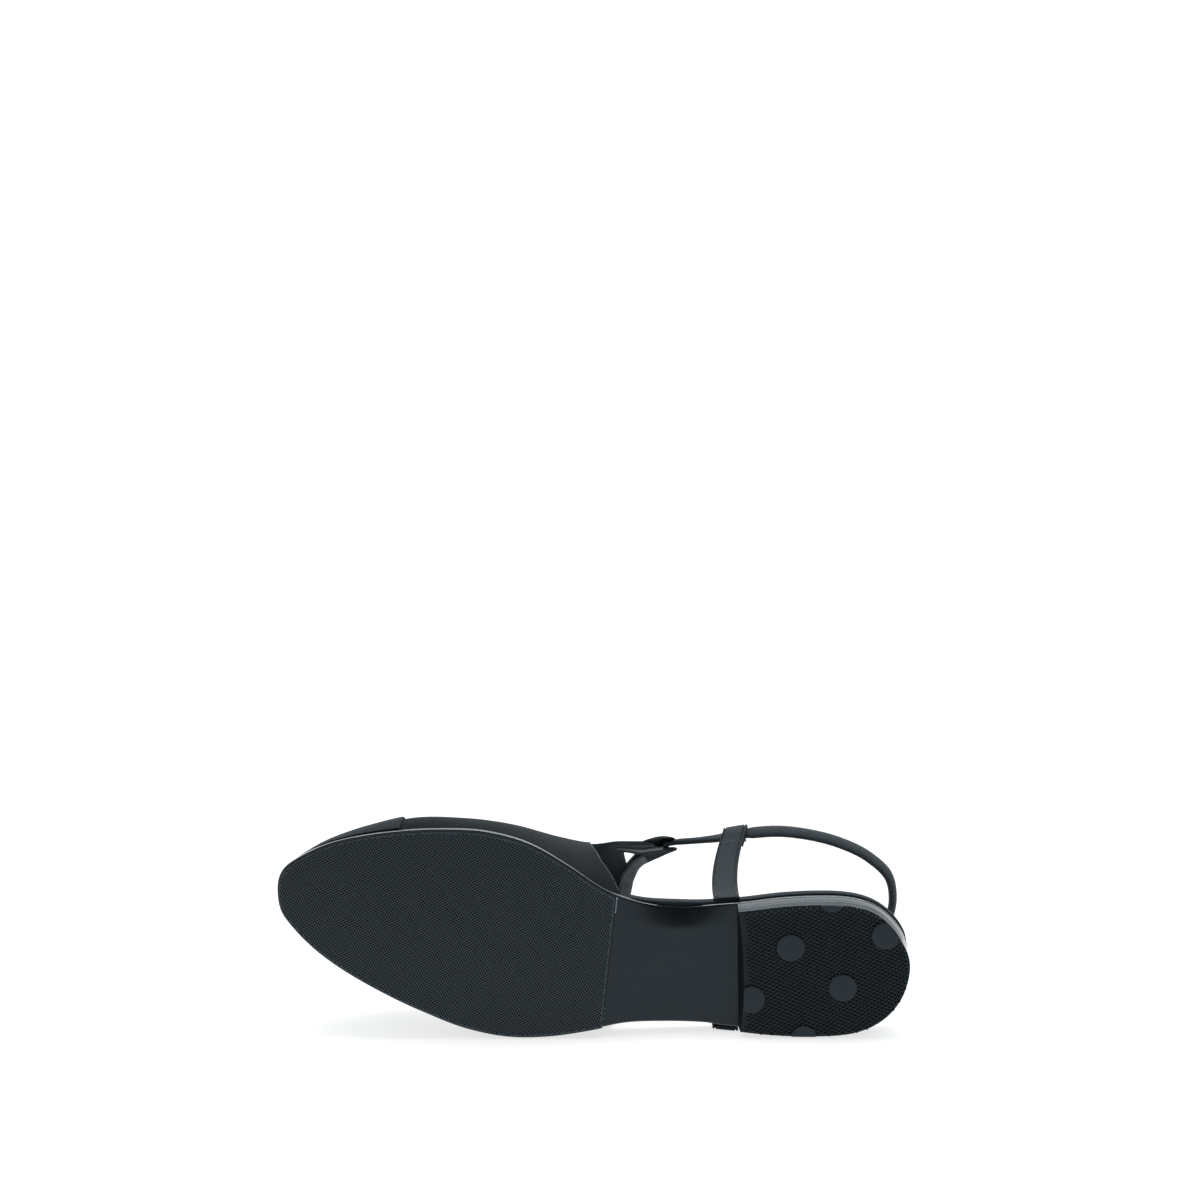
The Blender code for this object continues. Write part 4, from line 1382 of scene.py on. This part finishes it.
def strap_section():
    """Points (across, through) round a flat tape with rounded edges."""
    radius = STRAP_THICK / 2
    flat = STRAP_WIDTH / 2 - radius
    turns = np.linspace(-math.pi / 2, math.pi / 2, STRAP_EDGE_STEPS)
    right = np.stack([flat + radius * np.cos(turns), radius * np.sin(turns)], axis=1)
    seam = STRAP_WIDTH / 2 - SEAM_INSET
    edge = np.array([SEAM_HALF + SEAM_SLOPE, SEAM_HALF, -SEAM_HALF, -SEAM_HALF - SEAM_SLOPE])
    sunk = np.array([0.0, SEAM_DEPTH, SEAM_DEPTH, 0.0])
    plain = np.linspace(seam - SEAM_FREE, SEAM_FREE - seam, STRAP_FACE_STEPS)
    span = np.concatenate([seam + edge, plain, edge - seam])
    over = np.stack([span, radius - np.concatenate([sunk, 0 * plain, sunk])], axis=1)
    return np.concatenate([right, over, -right, -over])


def sweep_rings(shell, rings, lengths):
    """A closed solid through rings of points."""
    sides = rings.shape[1]
    round_step = np.linalg.norm(np.diff(rings, axis=1, prepend=rings[:, -1:]), axis=-1)
    along = np.broadcast_to(lengths[:, None], round_step.shape)
    measure = np.stack([np.cumsum(round_step, axis=1), along], axis=-1)
    shell.grid(rings, closed=True, surface=measure)
    for ring in (rings[0], rings[-1]):
        shell.add(ring, [list(range(sides))])


def run_length(route):
    return np.concatenate([[0], np.cumsum(np.linalg.norm(np.diff(route, axis=0), axis=1))])


def make_strap(node, rows, loop, side):
    route, widths = strap_route(rows, loop, side)
    normals = face_normals(route, widths)
    section = strap_section()
    rings = route[:, None, :] + section[:, 0][None, :, None] * widths[:, None, :]
    rings = rings + section[:, 1][None, :, None] * normals[:, None, :]
    shell = Shell()
    sweep_rings(shell, rings, run_length(route))
    shell.make(node + "_tape", "strap", "strap_tape", replaced=(node,))
    outwards = 1.0 if side == "inner" else -1.0
    face = normals * np.sign(np.sum(normals[:CLIMB_SAMPLE] * np.array([0, outwards, 0])))
    strap_stitches(node, route, widths, face)


def seat_points(girth, next_row):
    """Two points of a sling end, from the middle of the upper's swollen rear edge towards its loop."""
    middle = over_last(sweep_of(topline(girth)), girth, (SEAT_OUT - SEAT_IN - WALL) / 2)
    back = units(np.array(next_row) - middle)
    return [middle + SEAT_CLEAR * back, middle + (SEAT_CLEAR + SLING_LEAD) * back]


def make_sling():
    """Ribbed elastic, slim and round where it leaves the upper and flat from the loops on."""
    front = [over_last(sweep_of(station), girth, height) for station, girth, height in CORD_ENDS]
    back = seat_points(OUTER_SEAT_GIRTH, SLING[-1])
    route = smooth_curve([*front, *SLING, *reversed(back)], SLING_RINGS)
    along = units(np.gradient(route, axis=0))
    wide = units(np.array([0.0, 0.0, 1.0]) - along * along[:, 2:3])
    thick = np.cross(wide, along)
    lean = SLING_LEAN * ease((route[:, :1] - LEAN_SPAN[0]) / LEAN_EASE[0])
    lean = lean * ease((LEAN_SPAN[1] - route[:, :1]) / LEAN_EASE[1])
    wide, thick = wide * np.cos(lean) - thick * np.sin(lean), thick * np.cos(lean) + wide * np.sin(lean)
    inner, outer = SLING[INNER_LOOP][0], SLING[OUTER_LOOP][0]
    ahead = np.where(route[:, 1] > 0, route[:, 0] - inner, route[:, 0] - outer)
    slim = ease(ahead / SLING_SLIM_LENGTH)[:, None]
    rib = np.where(np.arange(SLING_RINGS) % RIB_EVERY == 0, -RIB_DEPTH, 0.0)[:, None]
    half_thick = SLING_HALF_THICK + slim * (SLING_END_RADIUS - SLING_HALF_THICK) + rib
    half_wide = SLING_HALF_WIDTH + slim * (SLING_END_RADIUS - SLING_HALF_WIDTH) + rib
    reach = [thick * half_thick * c + wide * half_wide * s for c, s in circle(SLING_SIDES)]
    shell = Shell()
    sweep_rings(shell, np.stack([route + offset for offset in reach], axis=1), run_length(route))
    shell.make("sling_elastic", "sling", "elastic", replaced=("sling",))


# Stitches

def stitch_row(shell, path, normals, pitch, length, radius):
    """A row of thread bumps on a surface, each dipping in at both ends."""
    places = run_length(path)
    starts = np.arange(pitch / 2, places[-1] - length, pitch)
    t = np.linspace(0, 1, STITCH_RINGS)
    spots = starts[:, None] + length * t
    centres = np.stack([np.interp(spots, places, values) for values in path.T], axis=-1)
    out = units(np.stack([np.interp(spots, places, values) for values in normals.T], axis=-1))
    along = units(np.gradient(centres, axis=1))
    side = units(np.cross(out, along))
    lift = radius * (STITCH_ARCH * np.sin(math.pi * t) - STITCH_SUNK)
    centres = centres + out * lift[None, :, None]
    for middle, up, across in zip(centres, out, side):
        ring = [middle + radius * (up * c + across * s) for c, s in circle(STITCH_SIDES)]
        sweep_rings(shell, np.stack(ring, axis=1), np.arange(STITCH_RINGS, dtype=float))


def strap_stitches(node, route, widths, face):
    """Two rows along the strap's edges, and one across it below the loop."""
    shell = Shell()
    span = slice(STRAP_SEAM_START, int(len(route) * STRAP_SEAM_END))
    for side in (-1, 1):
        path = route[span] + side * (STRAP_WIDTH / 2 - SEAM_INSET) * widths[span]
        path = path + face[span] * (STRAP_THICK / 2 - SEAM_DEPTH / 2)
        stitch_row(shell, path, face[span], *TAPE_STITCH)
    row = int(len(route) * FOLD_SEAM)
    across = np.linspace(-1, 1, FOLD_SEAM_POINTS)[:, None] * (STRAP_WIDTH / 2 - FOLD_SEAM_MARGIN)
    path = route[row] + across * widths[row] + face[row] * STRAP_THICK / 2
    stitch_row(shell, path, np.tile(face[row], (FOLD_SEAM_POINTS, 1)), *FOLD_STITCH)
    shell.make(node + "_stitches", "strap", "tape_thread")


def edge_path(girths, back, height):
    """Points and normals on the upper at a distance ahead of its rear edge."""
    girth = np.linspace(*girths, EDGE_PATH_POINTS)
    angle = sweep_of(topline(girth) + back)
    return over_last(angle, girth, height * textile(girth) / TEXTILE), last_normal(angle, girth)


def make_upper_stitches():
    shell = Shell()
    stitch_row(shell, *edge_path(*EDGE_SEAM), *EDGE_STITCH)
    stitch_row(shell, *edge_path(*EDGE_KNOT), *KNOT_STITCH)
    shell.make("vamp_stitches", "upper", "pale_thread")
    shell = Shell()
    stitch_row(shell, *edge_path(*REAR_SEAM), *SEAM_STITCH)
    shell.make("upper_stitches", "upper", "dark_thread")


def make_glue_traces():
    """Pale traces of glue in the step behind the tread."""
    shell = Shell()
    for low, high, *stitch in GLUE_TRACES:
        side = np.linspace(high, low, GLUE_POINTS)
        station = np.full(GLUE_POINTS, TREAD_BACK - GLUE_BACK)
        path = np.stack([station, side, ground(station) + TREAD_THICK / 2], axis=1)
        stitch_row(shell, path, np.tile(GLUE_OUT, (GLUE_POINTS, 1)), *stitch)
    shell.make("glue_traces", "tread", "glue")


# Stage

def make_room():
    """A white room that is dark only in front, where the camera stands."""
    world = bpy.data.worlds.new("white_room")
    nodes = Nodes(world)
    direction = nodes.add("ShaderNodeTexCoord").outputs["Generated"]
    split = nodes.add("ShaderNodeSeparateXYZ", Vector=direction)
    shades = []
    for axis, stops in (("Y", ROOM_FRONT), ("Z", ROOM_TOP)):
        share = nodes.add("ShaderNodeMapRange", _0=split.outputs[axis], _1=-1.0)
        shades.append(nodes.ramp(share.outputs[0], [(place, [shade] * 3) for place, shade in stops]))
    strength = nodes.maths("MULTIPLY", nodes.maths("MAXIMUM", *shades), ROOM_STRENGTH)
    sky = world.node_tree.nodes["Background"]
    nodes.put((*ROOM_TINT, 1.0), sky.inputs["Color"])
    nodes.put(strength, sky.inputs["Strength"])
    bpy.context.scene.world = world


def make_stage():
    """A white floor and soft light from above."""
    corners = [(-1, -1, 0), (1, -1, 0), (1, 1, 0), (-1, 1, 0)]
    mesh = bpy.data.meshes.new("floor")
    mesh.from_pydata((np.array(corners) * FLOOR_HALF).tolist(), [], [(0, 1, 2, 3)])
    paper = MATERIALS["floor_paper"]
    shader = paper.node_tree.nodes["Principled BSDF"]
    shader.inputs["Emission Color"].default_value = FLOOR_GLOW_COLOUR
    shader.inputs["Emission Strength"].default_value = FLOOR_GLOW
    mesh.materials.append(paper)
    floor = bpy.data.objects.new("floor", mesh)
    bpy.context.scene.collection.objects.link(floor)
    light = bpy.data.lights.new("top_strip", "AREA")
    light.shape = "RECTANGLE"
    light.size, light.size_y = LIGHT_SIZE
    light.energy = LIGHT_POWER
    strip = bpy.data.objects.new("top_strip", light)
    strip.location = LIGHT_PLACE
    aim = Vector(LIGHT_TARGET) - Vector(LIGHT_PLACE)
    strip.rotation_euler = aim.to_track_quat("-Z", "Y").to_euler()
    bpy.context.scene.collection.objects.link(strip)


def make_camera():
    lens = bpy.data.cameras.new("camera")
    lens.lens = CAMERA_LENS
    lens.sensor_width = CAMERA_SENSOR
    camera = bpy.data.objects.new("camera", lens)
    camera.location = CAMERA_PLACE
    camera.rotation_euler = (CAMERA_PITCH, 0.0, 0.0)
    bpy.context.scene.collection.objects.link(camera)
    bpy.context.scene.camera = camera


make_outsole()
make_forefoot_tread()
make_heel_block()
make_heel_lift()
make_insole()
make_upper()
make_toe_cap()
make_strap("inner_strap", INNER_STRAP, INNER_LOOP, "inner")
make_strap("outer_strap", OUTER_STRAP, OUTER_LOOP, "outer")
make_sling()
make_facing()
make_tab_tape()
make_tab_lip()
make_upper_stitches()
make_glue_traces()
make_room()
make_stage()
make_camera()
bpy.context.scene.view_settings.view_transform = "Standard"
